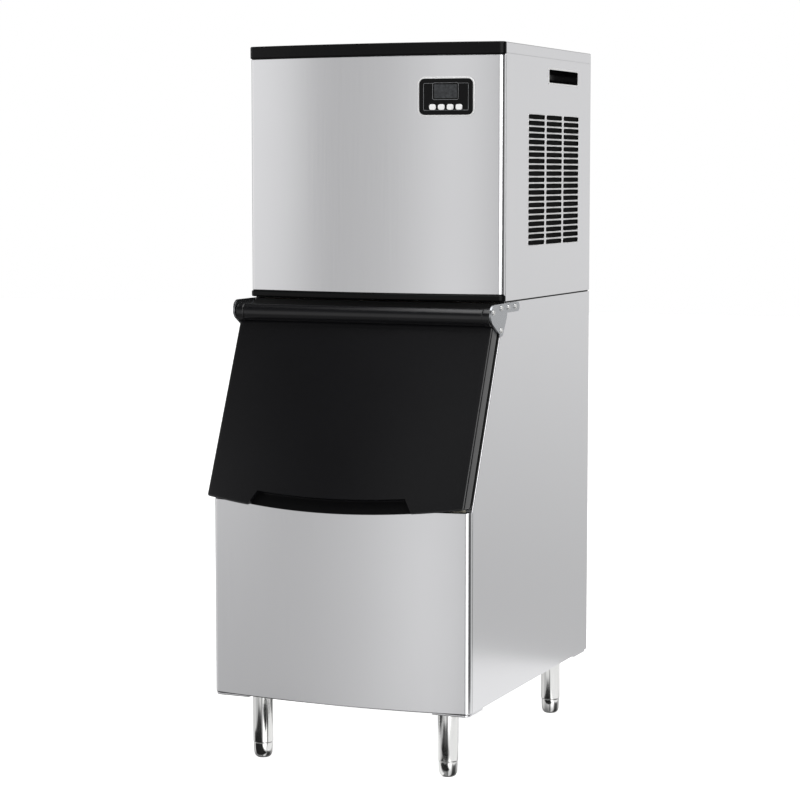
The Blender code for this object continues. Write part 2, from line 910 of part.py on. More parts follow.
def build_head_case():
    across = half - fold_width - fit_gap
    top = head_top - cover_height - fit_gap
    cover = box(
        "head_top_cover", (-half, at(head_side_front), head_top - cover_height),
        (half, at(0.0), head_top), brushed_steel,
    )
    cut(cover, box(
        "cover_hollow",
        (-half + skin, at(head_side_front - skin), head_top - 2 * cover_height),
        (half - skin, at(skin), head_top - skin),
    ))
    back = box(
        "head_back_panel", (-across, at(skin), head_bottom), (across, at(0.0), top), zinc_sheet,
    )
    for index, (place_x, radius) in enumerate(service_places()):
        cut(back, cylinder(
            f"back_hole_{index + 1}", (place_x, 0.0, head_bottom + service_height),
            radius + fit_gap, at(2 * skin), at(-skin), "Y",
        ))
    bowed_pan(
        "head_front_panel", head_depth, head_bow,
        head_bottom + bottom_trim_height + fit_gap, head_top - top_trim_height - fit_gap,
        brushed_steel,
    )
    back_depth = head_depth - corner_radius - corner_run
    for name, low, high in (
        ("head_top_trim", head_top - top_trim_height, head_top),
        ("head_bottom_trim", head_bottom, head_bottom + bottom_trim_height),
    ):
        outline = front_outline(
            head_depth, head_bow, trim_stand, back_depth, head_side_front + fit_gap,
        )
        trim = prism(name, outline, low, high, "Z", gloss_black)
        smooth(trim)
    build_base_pan(across)


def build_base_pan(across):
    """Floor of the head, folded up all round, with the ice drop in it."""
    back = skin + fit_gap
    base = box(
        "head_base_pan", (-across, at(head_side_front), head_bottom),
        (across, at(back), head_bottom + base_lip), zinc_sheet,
    )
    cut(base, box(
        "base_hollow", (-across + skin, at(head_side_front - skin), floor_top),
        (across - skin, at(back + skin), head_bottom + 2 * base_lip),
    ))
    cut(base, box(
        "ice_drop", (-drop_half, at(drop_front_depth), head_bottom - base_lip),
        (drop_half, at(drop_back_depth), head_bottom + base_lip),
    ))


def build_seal():
    """Foam seal in the seam between the head and the bin."""
    reach = half - seal_inset
    front, back = head_side_front - seal_inset, seal_inset
    low, high = bin_top + fit_gap, seal_top
    ring = box("head_seal", (-reach, at(front), low), (reach, at(back), high), black_rubber)
    cut(ring, box(
        "seal_hole", (-reach + seal_width, at(front - seal_inset), low - seal_width),
        (reach - seal_width, at(back + seal_width), high + seal_width),
    ))


def panel_frame():
    """Frame of the control panel: local Y is outwards along the bowed front's normal there."""
    centre_x = half - corner_radius
    turn = 2 * math.atan2(head_bow, centre_x)
    long_radius = centre_x / math.sin(turn)
    outer_radius = long_radius + corner_radius
    long_y = at(head_depth) + corner_radius - head_bow + long_radius
    lean = math.asin(panel_across / outer_radius)
    surface_y = long_y - outer_radius * math.cos(lean)
    place = Vector((panel_across, surface_y - fit_gap, head_top - panel_below_top))
    return Matrix.Translation(place) @ Matrix.Rotation(lean + math.pi, 4, "Z")


def panel_prism(name, centre, width, height, corner, low, high, finish=None):
    """A rounded piece of the control panel. Its low and high are measured outwards."""
    outline = rounded_rectangle((-centre[0], centre[1]), width, height, corner)
    return prism(name, outline, low, high, "Y", finish, panel_frame())


def build_controls():
    middle = (0.0, 0.0)
    neck_width, neck_height = panel_width - 2 * neck_margin, panel_height - 2 * neck_margin
    bezel = panel_prism(
        "control_bezel", middle, panel_width, panel_height, panel_corner, 0.0, panel_thickness,
        gloss_black,
    )
    join(bezel, panel_prism(
        "bezel_neck", middle, neck_width, neck_height, panel_corner - neck_margin / 2,
        -neck_depth, panel_thickness / 2,
    ))
    cut(bpy.data.objects["head_front_panel"], panel_prism(
        "control_cutout", middle, neck_width + 2 * fit_gap, neck_height + 2 * fit_gap,
        panel_corner - neck_margin / 2, -2 * neck_depth, neck_depth,
    ))
    window_place = (window_across, window_rise)
    cut(bezel, panel_prism(
        "window_seat", window_place, window_width + 2 * fit_gap, window_height + 2 * fit_gap,
        panel_corner / 4, panel_thickness - window_thickness, neck_depth,
    ))
    panel_prism(
        "display_window", window_place, window_width, window_height, panel_corner / 4,
        panel_thickness - window_thickness + fit_gap, panel_thickness - fit_gap, dark_window,
    )
    panel_prism(
        "control_board", middle, neck_width, neck_height, panel_corner / 4,
        -neck_depth - fit_gap - board_thickness, -neck_depth - fit_gap, circuit_green,
    )
    for index in range(button_count):
        place = (
            (index - (button_count - 1) / 2) * button_pitch, -button_drop,
        )
        cut(bezel, panel_prism(
            f"button_hole_{index + 1}", place, button_width + 2 * fit_gap,
            button_height + 2 * fit_gap, button_corner, -2 * neck_depth, neck_depth,
        ))
        panel_prism(
            f"control_button_{index + 1}", place, button_width, button_height, button_corner,
            -neck_depth + button_travel + fit_gap, panel_thickness + button_proud, silver_button,
        )


def leg_places():
    across = half - leg_inset_across
    front = at(bin_depth - leg_inset_front)
    back = at(leg_inset_back)
    return (
        ("front_left", -across, front),
        ("front_right", across, front),
        ("back_left", -across, back),
        ("back_right", across, back),
    )


def build_legs():
    top = bin_bottom - fit_gap
    bottom = foot_height + fit_gap
    bore = stem_radius + stem_clearance
    bore_top = bottom + stem_length + fit_gap
    leg = [
        (0.0, top), (leg_flange_radius, top), (leg_flange_radius, top - leg_flange_thickness),
        (leg_radius, top - leg_flange_thickness), (leg_radius, bottom), (bore, bottom),
        (bore, bore_top), (0.0, bore_top),
    ]
    stem_top = foot_height + stem_length
    foot = [
        (0.0, stem_top), (stem_radius, stem_top), (stem_radius, foot_height),
        (foot_radius, foot_height), (foot_radius, foot_height * 0.72),
        (foot_radius * 0.86, foot_height * 0.22), (foot_radius * 0.68, foot_height * 0.06),
        (foot_pad_radius, 0.0), (0.0, 0.0),
    ]
    for place, across, front in leg_places():
        turned(place + "_leg", leg, (across, front, 0.0), polished_steel)
        turned(place + "_foot", foot, (across, front, 0.0), polished_steel)


def service_places():
    return (
        (inlet_across, inlet_bore + skin),
        (drain_across, inlet_bore + skin),
        (gland_across, inlet_bore),
    )


def build_services():
    """Water inlet, drain outlet and cable gland on the back of the head."""
    height = head_bottom + service_height
    for name, (across, radius), finish in zip(
        ("water_inlet", "drain_outlet", "cable_gland"), service_places(),
        (polished_steel, matte_black, matte_black),
    ):
        middle = (across, 0.0, height)
        reach = inlet_reach if radius > inlet_bore else inlet_reach / 2
        made = cylinder(
            name, middle, radius, at(2 * inlet_flange), at(-reach), "Y", finish, steps=12,
        )
        flange = cylinder(
            name + "_flange", middle, inlet_radius + inlet_flange, at(-fit_gap),
            at(-fit_gap - inlet_flange / 2), "Y", steps=6,
        )
        join(made, flange)
        cut(made, cylinder(
            name + "_bore", middle, radius - 2 * skin, at(inlet_flange), at(-2 * inlet_reach), "Y",
            steps=12,
        ))


def build_cold_side():
    across = half - fold_width - skin - 2 * fit_gap
    top = head_top - cover_height - 2 * fit_gap
    partition = box(
        "partition", (-across, at(partition_depth), floor_top + fit_gap),
        (across, at(partition_depth - partition_thickness), top), zinc_sheet,
    )
    build_evaporator()
    build_curtain()
    build_water_parts()
    return partition


def evaporator_box():
    back = partition_depth + fit_gap
    low = head_bottom + evaporator_bottom
    return back, back + evaporator_thickness, low, low + evaporator_height


def pivot_place():
    """Depth and height of the curtain's pivot."""
    back, front, low, high = evaporator_box()
    return front + pivot_reach, high - ear_height / 2


def build_evaporator():
    """A plate with open square cells on its front, and an ear at each end for the curtain."""
    back, front, low, high = evaporator_box()
    mesh = bmesh.new()
    place = Matrix.Translation((0.0, at(front), (low + high) / 2))
    place = place @ Matrix.Rotation(math.radians(90), 4, "X")
    bmesh.ops.create_grid(
        mesh, x_segments=cell_columns, y_segments=cell_rows, size=0.5,
        matrix=place @ Matrix.Diagonal((evaporator_width, evaporator_height, 1.0, 1.0)),
    )
    front_faces = list(mesh.faces)
    rim = [edge for edge in mesh.edges if edge.is_boundary]
    pushed = bmesh.ops.extrude_edge_only(mesh, edges=rim)
    moved = [item for item in pushed["geom"] if isinstance(item, bmesh.types.BMVert)]
    bmesh.ops.translate(mesh, vec=(0.0, evaporator_thickness, 0.0), verts=moved)
    bmesh.ops.holes_fill(mesh, edges=[edge for edge in mesh.edges if edge.is_boundary])
    bmesh.ops.inset_individual(mesh, faces=front_faces, thickness=cell_wall / 2)
    bmesh.ops.recalc_face_normals(mesh, faces=mesh.faces)
    cells = bmesh.ops.extrude_discrete_faces(mesh, faces=front_faces)["faces"]
    for cell in cells:
        bmesh.ops.translate(mesh, vec=(0.0, cell_depth, 0.0), verts=cell.verts)
    made = mesh_object("evaporator", mesh, polished_steel)
    pivot_depth, pivot_height = pivot_place()
    for index, side in enumerate((-1, 1)):
        inner = side * (evaporator_width / 2 - ear_thickness)
        outer = side * evaporator_width / 2
        ends = sorted((inner, outer))
        ear = box(
            f"evaporator_ear_{index + 1}",
            (ends[0], at(pivot_depth + 2 * pivot_radius), high - ear_height),
            (ends[1], at(front - cell_wall), high),
        )
        hole = cylinder(
            f"ear_hole_{index + 1}", (0.0, at(pivot_depth), pivot_height),
            pivot_radius + fit_gap, ends[0] - skin, ends[1] + skin, "X", steps=12,
        )
        join(made, ear)
        cut(made, hole)


def build_curtain():
    """A flap that hangs in front of the cells on two pins, and swings forward as ice drops."""
    pivot_depth, pivot_height = pivot_place()
    reach = evaporator_width / 2 - ear_thickness - curtain_side_gap
    curtain = box(
        "water_curtain",
        (-reach, at(pivot_depth + curtain_thickness / 2), pivot_height - curtain_height),
        (reach, at(pivot_depth - curtain_thickness / 2), pivot_height + 2 * pivot_radius),
        clear_plastic,
    )
    pin = evaporator_width / 2
    join(curtain, cylinder(
        "curtain_pin", (0.0, at(pivot_depth), pivot_height), pivot_radius, -pin, pin, "X", steps=12,
    ))
    own_origin(curtain, (0.0, at(pivot_depth), pivot_height))


def build_water_parts():
    back, front, low, high = evaporator_box()
    reach = evaporator_width / 2
    spout = high + fit_gap + distributor_radius
    pipe = cylinder(
        "water_distributor", (0.0, at((back + front) / 2), spout), distributor_radius,
        -reach, reach, "X", clear_plastic,
    )
    for index in range(spray_slots):
        place = (index + 0.5) / spray_slots * evaporator_width - reach
        cut(pipe, box(
            f"spray_slot_{index + 1}",
            (place - cell_wall, at(front), spout + distributor_radius / 2),
            (place + cell_wall, at(back), spout + 2 * distributor_radius),
        ))
    rim = low - trough_below
    trough = box(
        "water_trough", (-reach, at(back + trough_depth), rim - trough_height),
        (reach, at(back), rim), clear_plastic,
    )
    cut(trough, box(
        "trough_hollow",
        (-reach + trough_wall, at(back + trough_depth - trough_wall),
         rim - trough_height + trough_wall),
        (reach - trough_wall, at(back + trough_wall), rim + trough_height),
    ))
    pump_x = reach + fit_gap + pump_radius
    pump_bottom = rim - trough_height
    pump = [
        (0.0, pump_height), (pump_radius * 0.8, pump_height),
        (pump_radius, pump_height * 0.94), (pump_radius, pump_height * 0.45),
        (pump_radius * 0.7, pump_height * 0.42), (pump_radius * 0.7, 0.0), (0.0, 0.0),
    ]
    turned(
        "water_pump", pump, (pump_x, at(back + pump_radius), pump_bottom), black_enamel, 16,
    )


def build_refrigeration():
    floor = floor_top + fit_gap
    foot = compressor_foot / 2
    shape = [
        (0.0, compressor_height), (compressor_radius * 0.45, compressor_height * 0.985),
        (compressor_radius * 0.78, compressor_height * 0.92),
        (compressor_radius * 0.95, compressor_height * 0.80),
        (compressor_radius, compressor_height * 0.62), (compressor_radius, compressor_height * 0.56),
        (compressor_radius * 0.96, compressor_height * 0.55),
        (compressor_radius * 0.96, compressor_height * 0.20),
        (compressor_radius * 0.80, compressor_height * 0.06), (0.0, 0.0),
    ]
    body = turned(
        "compressor", shape, (compressor_across, at(compressor_depth), floor), black_enamel,
    )
    join(body, box(
        "compressor_foot_plate",
        (compressor_across - foot, at(compressor_depth) - foot, floor),
        (compressor_across + foot, at(compressor_depth) + foot, floor + compressor_foot_thickness),
    ))
    build_condenser()
    build_fan()


def condenser_box():
    outer = half - fold_width - condenser_side_gap
    inner = outer - condenser_thickness
    low = floor_top + fit_gap
    end = partition_depth - partition_thickness - condenser_end_gap
    middle = at(end - condenser_length / 2)
    return inner, outer, low, low + 2 * condenser_side_gap + condenser_height, middle


def build_condenser():
    """A finned block on a foot, close behind the right-hand vent."""
    inner, outer, low, high, middle = condenser_box()
    reach = condenser_length / 2
    block = box(
        "condenser", (inner, middle - reach, low), (outer, middle + reach, high), zinc_sheet,
    )
    mesh = bmesh.new()
    pitch = condenser_length / (condenser_fins + 1)
    slot_low = low + 2 * condenser_side_gap
    for index in range(condenser_fins):
        centre = (
            outer, middle - reach + (index + 1) * pitch, (slot_low + high - condenser_side_gap) / 2,
        )
        size = (
            2 * condenser_fin_depth, pitch / 2, high - condenser_side_gap - slot_low, 1.0,
        )
        bmesh.ops.create_cube(
            mesh, size=1.0, matrix=Matrix.Translation(centre) @ Matrix.Diagonal(size),
        )
    cut(block, mesh_object("condenser_slots", mesh))


def fan_place():
    inner, outer, low, high, middle = condenser_box()
    return inner - fit_gap - shroud_thickness, middle, (low + high) / 2


def build_fan():
    """Shroud against the condenser, a fan in its ring, and a motor on two arms behind it."""
    inner, outer, low, high, middle = condenser_box()
    shroud_x, fan_y, fan_z = fan_place()
    reach = condenser_length / 2
    shroud = box(
        "fan_shroud", (shroud_x, middle - reach, low), (inner - fit_gap, middle + reach, high),
        zinc_sheet,
    )
    ring_end = shroud_x - fan_hub_length - 2 * fit_gap
    join(shroud, cylinder(
        "shroud_ring", (0.0, fan_y, fan_z), fan_radius + fan_tip_gap + shroud_thickness,
        ring_end, shroud_x + shroud_thickness / 2, "X", steps=24,
    ))
    cut(shroud, cylinder(
        "shroud_mouth", (0.0, fan_y, fan_z), fan_radius + fan_tip_gap, ring_end - fold_width,
        inner + fold_width, "X", steps=24,
    ))
    arm_high = ring_end + fit_gap
    arm_low = arm_high - shroud_thickness
    arm_reach = fan_radius + fan_tip_gap + shroud_thickness
    join(shroud, box(
        "motor_arms", (arm_low, fan_y - arm_reach, fan_z - motor_arm / 2),
        (arm_high, fan_y + arm_reach, fan_z + motor_arm / 2),
    ))
    cut(shroud, cylinder(
        "shaft_hole", (0.0, fan_y, fan_z), shaft_radius + fit_gap, arm_low - skin,
        arm_high + skin, "X", steps=12,
    ))
    motor_end = arm_low - fit_gap
    motor = cylinder(
        "fan_motor", (0.0, fan_y, fan_z), motor_radius, motor_end - motor_length, motor_end, "X",
        black_enamel, steps=16,
    )
    soften(motor, shroud_thickness, 1)
    build_fan_wheel(arm_high + fit_gap, motor_end)


def build_fan_wheel(back, motor_end):
    shroud_x, fan_y, fan_z = fan_place()
    front = back + fan_hub_length
    wheel = cylinder(
        "fan", (0.0, fan_y, fan_z), fan_hub_radius, back, front, "X", matte_black,
    )
    join(wheel, cylinder(
        "fan_shaft", (0.0, fan_y, fan_z), shaft_radius, motor_end + fit_gap, front - skin, "X",
        steps=12,
    ))
    middle = Vector(((back + front) / 2, fan_y, fan_z))
    root, tip = fan_hub_radius / 2, fan_radius
    for index in range(fan_blades):
        mesh = bmesh.new()
        bmesh.ops.create_cube(mesh, size=1.0)
        bmesh.ops.subdivide_edges(
            mesh, edges=[e for e in mesh.edges if abs(e.verts[0].co.z - e.verts[1].co.z) > 0.5],
            cuts=3, use_grid_fill=True,
        )
        for vertex in mesh.verts:
            share = vertex.co.z + 0.5
            chord = (blade_root_chord + blade_chord_growth * share) * vertex.co.y
            pitch = math.radians(blade_pitch_deg * (1.25 - 0.5 * share))
            thick = blade_thickness * vertex.co.x
            reach = root + (tip - root) * share
            vertex.co = (
                thick * math.cos(pitch) - chord * math.sin(pitch),
                thick * math.sin(pitch) + chord * math.cos(pitch),
                reach - chord * chord / reach / 2,
            )
        turn = Matrix.Rotation(2 * math.pi * index / fan_blades, 4, "X")
        blade = mesh_object(f"fan_blade_{index + 1}", mesh, frame=Matrix.Translation(middle) @ turn)
        join(wheel, blade)
    own_origin(wheel, middle)


def build_pipes():
    """Copper pipes from the compressor to the condenser and up the partition."""
    inner, outer, low, high, middle = condenser_box()
    start_x = compressor_across
    top = floor_top + fit_gap + compressor_height + fit_gap
    run = at(compressor_depth)
    level = top + pipe_drop + 4 * pipe_radius
    points = [(start_x, run, top)]
    bend = 3 * pipe_radius
    points += [
        (x, run, z) for x, z in arc((start_x + bend, level - bend), bend, 180, 90, 5)
    ]
    reach_x = fan_place()[0] - fan_hub_length - motor_length - 8 * fit_gap
    points.append((reach_x / 2, run, level))
    end_y = at(partition_depth - partition_thickness - pipe_radius - fit_gap)
    points += [
        (x, y, level) for x, y in arc((reach_x / 2 + bend, run - bend), bend, 90, 0, 5)
    ]
    points.append((reach_x / 2 + 2 * bend, end_y, level))
    tube("refrigerant_pipe", points, pipe_radius, copper)


build_bin_panels()
build_bin_inside()
build_bin_drain()
build_door_frame()
build_door()
build_hinge()
build_head_sides()
build_head_case()
build_seal()
build_controls()
build_legs()
build_services()
build_cold_side()
build_refrigeration()
build_pipes()
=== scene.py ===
import math

import bmesh
import bpy
from mathutils import Matrix, Vector


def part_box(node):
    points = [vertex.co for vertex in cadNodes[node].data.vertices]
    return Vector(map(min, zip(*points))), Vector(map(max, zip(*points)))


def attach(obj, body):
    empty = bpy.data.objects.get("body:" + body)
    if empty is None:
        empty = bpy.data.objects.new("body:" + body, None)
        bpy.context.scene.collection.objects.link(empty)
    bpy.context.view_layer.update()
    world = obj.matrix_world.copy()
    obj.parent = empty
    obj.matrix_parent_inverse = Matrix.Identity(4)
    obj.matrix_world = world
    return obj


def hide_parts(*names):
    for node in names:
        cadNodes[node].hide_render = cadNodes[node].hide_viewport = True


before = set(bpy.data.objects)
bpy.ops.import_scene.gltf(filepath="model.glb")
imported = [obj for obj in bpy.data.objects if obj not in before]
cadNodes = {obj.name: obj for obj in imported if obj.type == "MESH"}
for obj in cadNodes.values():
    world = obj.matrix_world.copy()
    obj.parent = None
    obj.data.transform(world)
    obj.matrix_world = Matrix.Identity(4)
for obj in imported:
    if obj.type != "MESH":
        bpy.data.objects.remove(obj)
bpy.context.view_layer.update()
print("frame loaded:", len(cadNodes), "nodes")


# Places taken from the frame
def lowOf(node):
    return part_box(node)[0]


def highOf(node):
    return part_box(node)[1]


def middleOf(node):
    low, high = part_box(node)
    return (low + high) / 2


cabinet = {
    "half": highOf("head_top_cover").x,
    "backY": highOf("bin_back_panel").y,
    "sheet": 0.0015,
    "foldRadius": 0.0022,
    "cornerRadius": 0.012,
    "cornerRun": 0.0035,
    "headDepth": 0.546,
    "headBow": 0.026,
    "binDepth": 0.723,
    "binBow": 0.023,
}


def atDepth(depth):
    return cabinet["backY"] - depth


# Colours and materials
def linearColour(code):
    parts = [int(code[place:place + 2], 16) / 255 for place in (0, 2, 4)]
    linear = [p / 12.92 if p <= 0.04045 else ((p + 0.055) / 1.055) ** 2.4 for p in parts]
    return (*linear, 1.0)


def addNode(tree, kind, settings=None, links=None):
    # A setting is a socket's value, a property, or a ramp's stops as place and brightness
    made = tree.nodes.new("ShaderNode" + kind)
    for key, value in (settings or {}).items():
        if key == "stops":
            while len(made.color_ramp.elements) < len(value):
                made.color_ramp.elements.new(0.5)
            for element, (place, level) in zip(made.color_ramp.elements, value):
                element.position = place
                element.color = (level, level, level, 1.0)
        elif isinstance(key, int) or key in made.inputs:
            made.inputs[key].default_value = value
        else:
            setattr(made, key, value)
    for key, (source, output) in (links or {}).items():
        tree.links.new(source.outputs[output], made.inputs[key])
    return made


def newMaterial(name, code, settings):
    made = bpy.data.materials.new(name)
    made.use_nodes = True
    tree = made.node_tree
    tree.nodes.clear()
    made.diffuse_color = linearColour(code)
    shader = addNode(tree, "BsdfPrincipled", {"Base Color": linearColour(code), **settings})
    addNode(tree, "OutputMaterial", links={"Surface": (shader, "BSDF")})
    return made, tree, shader


def addPattern(tree, kind, settings, perMetre=(1.0, 1.0, 1.0)):
    # A pattern on Object coordinates, with its scale in cycles per metre
    where = addNode(tree, "TexCoord")
    space = addNode(tree, "Mapping", {"Scale": perMetre}, {"Vector": (where, "Object")})
    return addNode(tree, kind, settings, {"Vector": (space, "Vector")})


def feed(tree, source, output, shader, socket):
    tree.links.new(source.outputs[output], shader.inputs[socket])


def varySurface(tree, shader, pattern, output, tints=None, gloss=None, relief=None):
    # A pattern moves the colour between two tints, spreads the roughness and raises the surface
    source = (pattern, output)
    if tints:
        dark, light = (linearColour(code) for code in tints)
        shade = addNode(tree, "Mix", {"data_type": "RGBA", 6: dark, 7: light}, {0: source})
        feed(tree, shade, "Result", shader, "Base Color")
    if gloss:
        low, high, smooth, rough = gloss
        spread = addNode(tree, "MapRange", {
            "From Min": low, "From Max": high, "To Min": smooth, "To Max": rough,
        }, {"Value": source})
        feed(tree, spread, "Result", shader, "Roughness")
    if relief:
        depth, strength = relief
        bump = addNode(tree, "Bump", {"Distance": depth, "Strength": strength}, {"Height": source})
        feed(tree, bump, "Normal", shader, "Normal")


def makeSurface(name, code, settings, kind, pattern, output="Fac", perMetre=(1.0, 1.0, 1.0), **looks):
    made, tree, shader = newMaterial(name, code, settings)
    varySurface(tree, shader, addPattern(tree, kind, pattern, perMetre), output, **looks)
    return made


brushedFinish = {
    "grainSpacing": 0.0010,      # real lines are 0.2 mm apart, drawn 5 times as coarse so they show
    "grainLength": 0.22,
    "roughness": 0.20,
    "roughnessSwing": 0.03,
    "dark": "D0D0D2",
    "light": "DADADC",
    "bumpDepth": 0.000008,
}


def makeBrushedSteel(name, grainAxis):
    # 304 stainless sheet with a number 4 brushed finish: long fine lines that soften reflections
    level, swing = brushedFinish["roughness"], brushedFinish["roughnessSwing"]
    made, tree, shader = newMaterial(name, brushedFinish["light"], {
        "Metallic": 1.0, "Roughness": level,
    })
    across, along = 1 / brushedFinish["grainSpacing"], 1 / brushedFinish["grainLength"]
    scale = [across, across, across]
    scale["xyz".index(grainAxis)] = along
    grain = addPattern(tree, "TexNoise", {"Scale": 1.0, "Detail": 3.0, "Roughness": 0.6}, scale)
    varySurface(
        tree, shader, grain, "Fac", (brushedFinish["dark"], brushedFinish["light"]),
        relief=(brushedFinish["bumpDepth"], 0.4),
    )
    # Handling leaves dull patches about 200 mm across
    cloud = addPattern(tree, "TexNoise", {"Scale": 5.0, "Detail": 2.0})
    streak = addNode(tree, "MapRange", {
        "From Min": 0.3, "From Max": 0.7, "To Min": level - swing, "To Max": level + swing,
    }, {"Value": (grain, "Fac")})
    handled = addNode(tree, "MapRange", {
        "From Min": 0.35, "From Max": 0.7, "To Max": swing / 2,
    }, {"Value": (cloud, "Fac")})
    total = addNode(tree, "Math", {"operation": "ADD"}, {
        0: (streak, "Result"), 1: (handled, "Result"),
    })
    feed(tree, total, "Value", shader, "Roughness")
    return made


def makeGalvanised():
    # Hot-dip galvanised sheet: a dull grey with crystal spangles about 9 mm across
    made, tree, shader = newMaterial("galvanisedSheet", "A9ACAE", {
        "Metallic": 1.0, "Roughness": 0.45,
    })
    spangle = addPattern(tree, "TexVoronoi", {"Scale": 1 / 0.009})
    shade = addNode(tree, "RGBToBW", links={"Color": (spangle, "Color")})
    varySurface(tree, shader, shade, "Val", ("A3A7AA", "BEC1C3"), (0.0, 1.0, 0.36, 0.52))
    return made


def makeMoulded(name, dark, light, roughness, grain, depth, specular=0.5):
    # Injection-moulded plastic: an even colour with the fine spark-eroded texture of its mould
    made, tree, shader = newMaterial(name, light, {
        "Roughness": roughness, "IOR": 1.5, "Specular IOR Level": specular,
    })
    texture = addPattern(tree, "TexNoise", {"Scale": 1 / grain, "Detail": 3.0})
    varySurface(
        tree, shader, texture, "Fac", gloss=(0.3, 0.7, roughness * 0.88, roughness * 1.12),
        relief=(depth, 0.5),
    )
    flow = addPattern(tree, "TexNoise", {"Scale": 6.0, "Detail": 1.0})
    varySurface(tree, shader, flow, "Fac", (dark, light))
    return made


def makeCircuitBoard():
    # Green solder mask over copper tracks
    made, tree, shader = newMaterial("greenCircuitBoard", "1E5B36", {"Roughness": 0.4})
    tracks = addPattern(tree, "TexBrick", {
        "Scale": 120.0, "Color1": linearColour("1C5A34"), "Color2": linearColour("17502D"),
        "Mortar": linearColour("3C8A55"), "Mortar Size": 0.03,
    })
    feed(tree, tracks, "Color", shader, "Base Color")
    return made


def makeFilterCloth():
    # Woven black nylon dust filter, one thread every 1.2 mm
    made, tree, shader = newMaterial("wovenNylonFilter", "0B0B0B", {
        "Roughness": 0.85, "Specular IOR Level": 0.1,
    })
    threads = 1 / 0.0012
    weave = addPattern(tree, "TexChecker", {
        "Scale": 1.0, "Color1": linearColour("101010"), "Color2": linearColour("050505"),
    }, (threads, threads, threads))
    feed(tree, weave, "Color", shader, "Base Color")
    varySurface(tree, shader, weave, "Fac", relief=(0.0002, 0.5))
    return made


steelFront = makeBrushedSteel("brushedStainlessSteelFront", "z")
steelTop = makeBrushedSteel("brushedStainlessSteelTop", "x")
# Polished 304 stainless tube and plate: sharp reflections with a little haze from handling
polished = makeSurface(
    "polishedStainlessSteel", "DCDCDB", {"Metallic": 1.0, "Roughness": 0.13},
    "TexNoise", {"Scale": 60.0, "Detail": 4.0}, perMetre=(1.0, 1.0, 0.25),
    tints=("D2D2D1", "E4E4E3"), gloss=(0.3, 0.7, 0.09, 0.19),
)
# Zinc-plated and passivated steel plate: a satin grey, darker than the stainless sheet
plated = makeSurface(
    "zincPlatedSteel", "9A9C9F", {"Metallic": 1.0, "Roughness": 0.30},
    "TexNoise", {"Scale": 160.0, "Detail": 3.0},
    tints=("9DA0A3", "B0B2B5"), gloss=(0.3, 0.7, 0.23, 0.32),
)
# Pale satin steel edge: real rims and lips whose near-white colour is a painted highlight, a bright
# line under any light
paintedHighlightEdge = makeSurface(
    "paintedHighlightSteelEdge", "F6F6F6", {"Metallic": 0.4, "Roughness": 0.45},
    "TexNoise", {"Scale": 90.0, "Detail": 2.0}, tints=("EEEEEE", "FCFCFC"),
)
galvanised = makeGalvanised()
trimBlack = makeMoulded("blackAbsTrim", "080809", "0C0C0D", 0.30, 0.0009, 0.00001, 0.12)
glossBlack = makeMoulded("blackAbsGloss", "09090A", "0D0D0E", 0.16, 0.0009, 0.000004, 0.4)
doorBlack = makeMoulded("blackAbsDoor", "08080A", "0D0D10", 0.24, 0.0009, 0.000004)
satinBlack = makeMoulded("blackPolypropylene", "121212", "1A1A1A", 0.5, 0.0007, 0.00004)
linerWhite = makeMoulded("whiteAbsLiner", "E2E2DE", "ECECE8", 0.32, 0.0020, 0.00003)
silverPlastic = makeMoulded("silverPaintedAbs", "F0F0F0", "FAFAFA", 0.30, 0.0006, 0.00001)
greyPlastic = makeMoulded("greyPolystyrene", "AEB2B4", "BFC3C5", 0.28, 0.0010, 0.00002)
linePaint = makeMoulded("greyPrintedLine", "77797B", "8A8C8E", 0.35, 0.0006, 0.00001)
# EPDM rubber: matt black, faintly mottled with bloom
rubber = makeSurface(
    "blackEpdmRubber", "161616", {"Roughness": 0.72},
    "TexNoise", {"Scale": 90.0, "Detail": 5.0}, tints=("101010", "242423"), relief=(0.0001, 0.4),
)
# Drawn copper pipe, darkened a little in patches by heat and air
copper = makeSurface(
    "drawnCopper", "C77B57", {"Metallic": 1.0, "Roughness": 0.28},
    "TexNoise", {"Scale": 40.0, "Detail": 4.0},
    tints=("8E5238", "D08A66"), gloss=(0.3, 0.7, 0.22, 0.42),
)
# Stoved black enamel on a pressed steel can: glossy with slight orange peel
enamel = makeSurface(
    "stovedBlackEnamel", "131314", {"Roughness": 0.25},
    "TexNoise", {"Scale": 400.0, "Detail": 1.0}, tints=("0F0F10", "19191A"), relief=(0.00006, 0.4),
)
# Poured polyurethane foam: cream, full of cells 1.5 mm across
foam = makeSurface(
    "polyurethaneFoam", "DCCB96", {"Roughness": 0.9},
    "TexVoronoi", {"Scale": 1 / 0.0015}, "Distance", tints=("DDD6BE", "F0EBDA"),
    relief=(0.0003, 0.6),
)
circuitGreen = makeCircuitBoard()
# Smoked acrylic window over an unlit liquid crystal display
displayWindow = makeSurface(
    "smokedAcrylicWindow", "303234", {"Roughness": 0.12, "IOR": 1.49, "Specular IOR Level": 0.2},
    "TexNoise", {"Scale": 130.0, "Detail": 2.0, "Roughness": 0.7}, tints=("141516", "4A4C4F"),
)
filterCloth = makeFilterCloth()

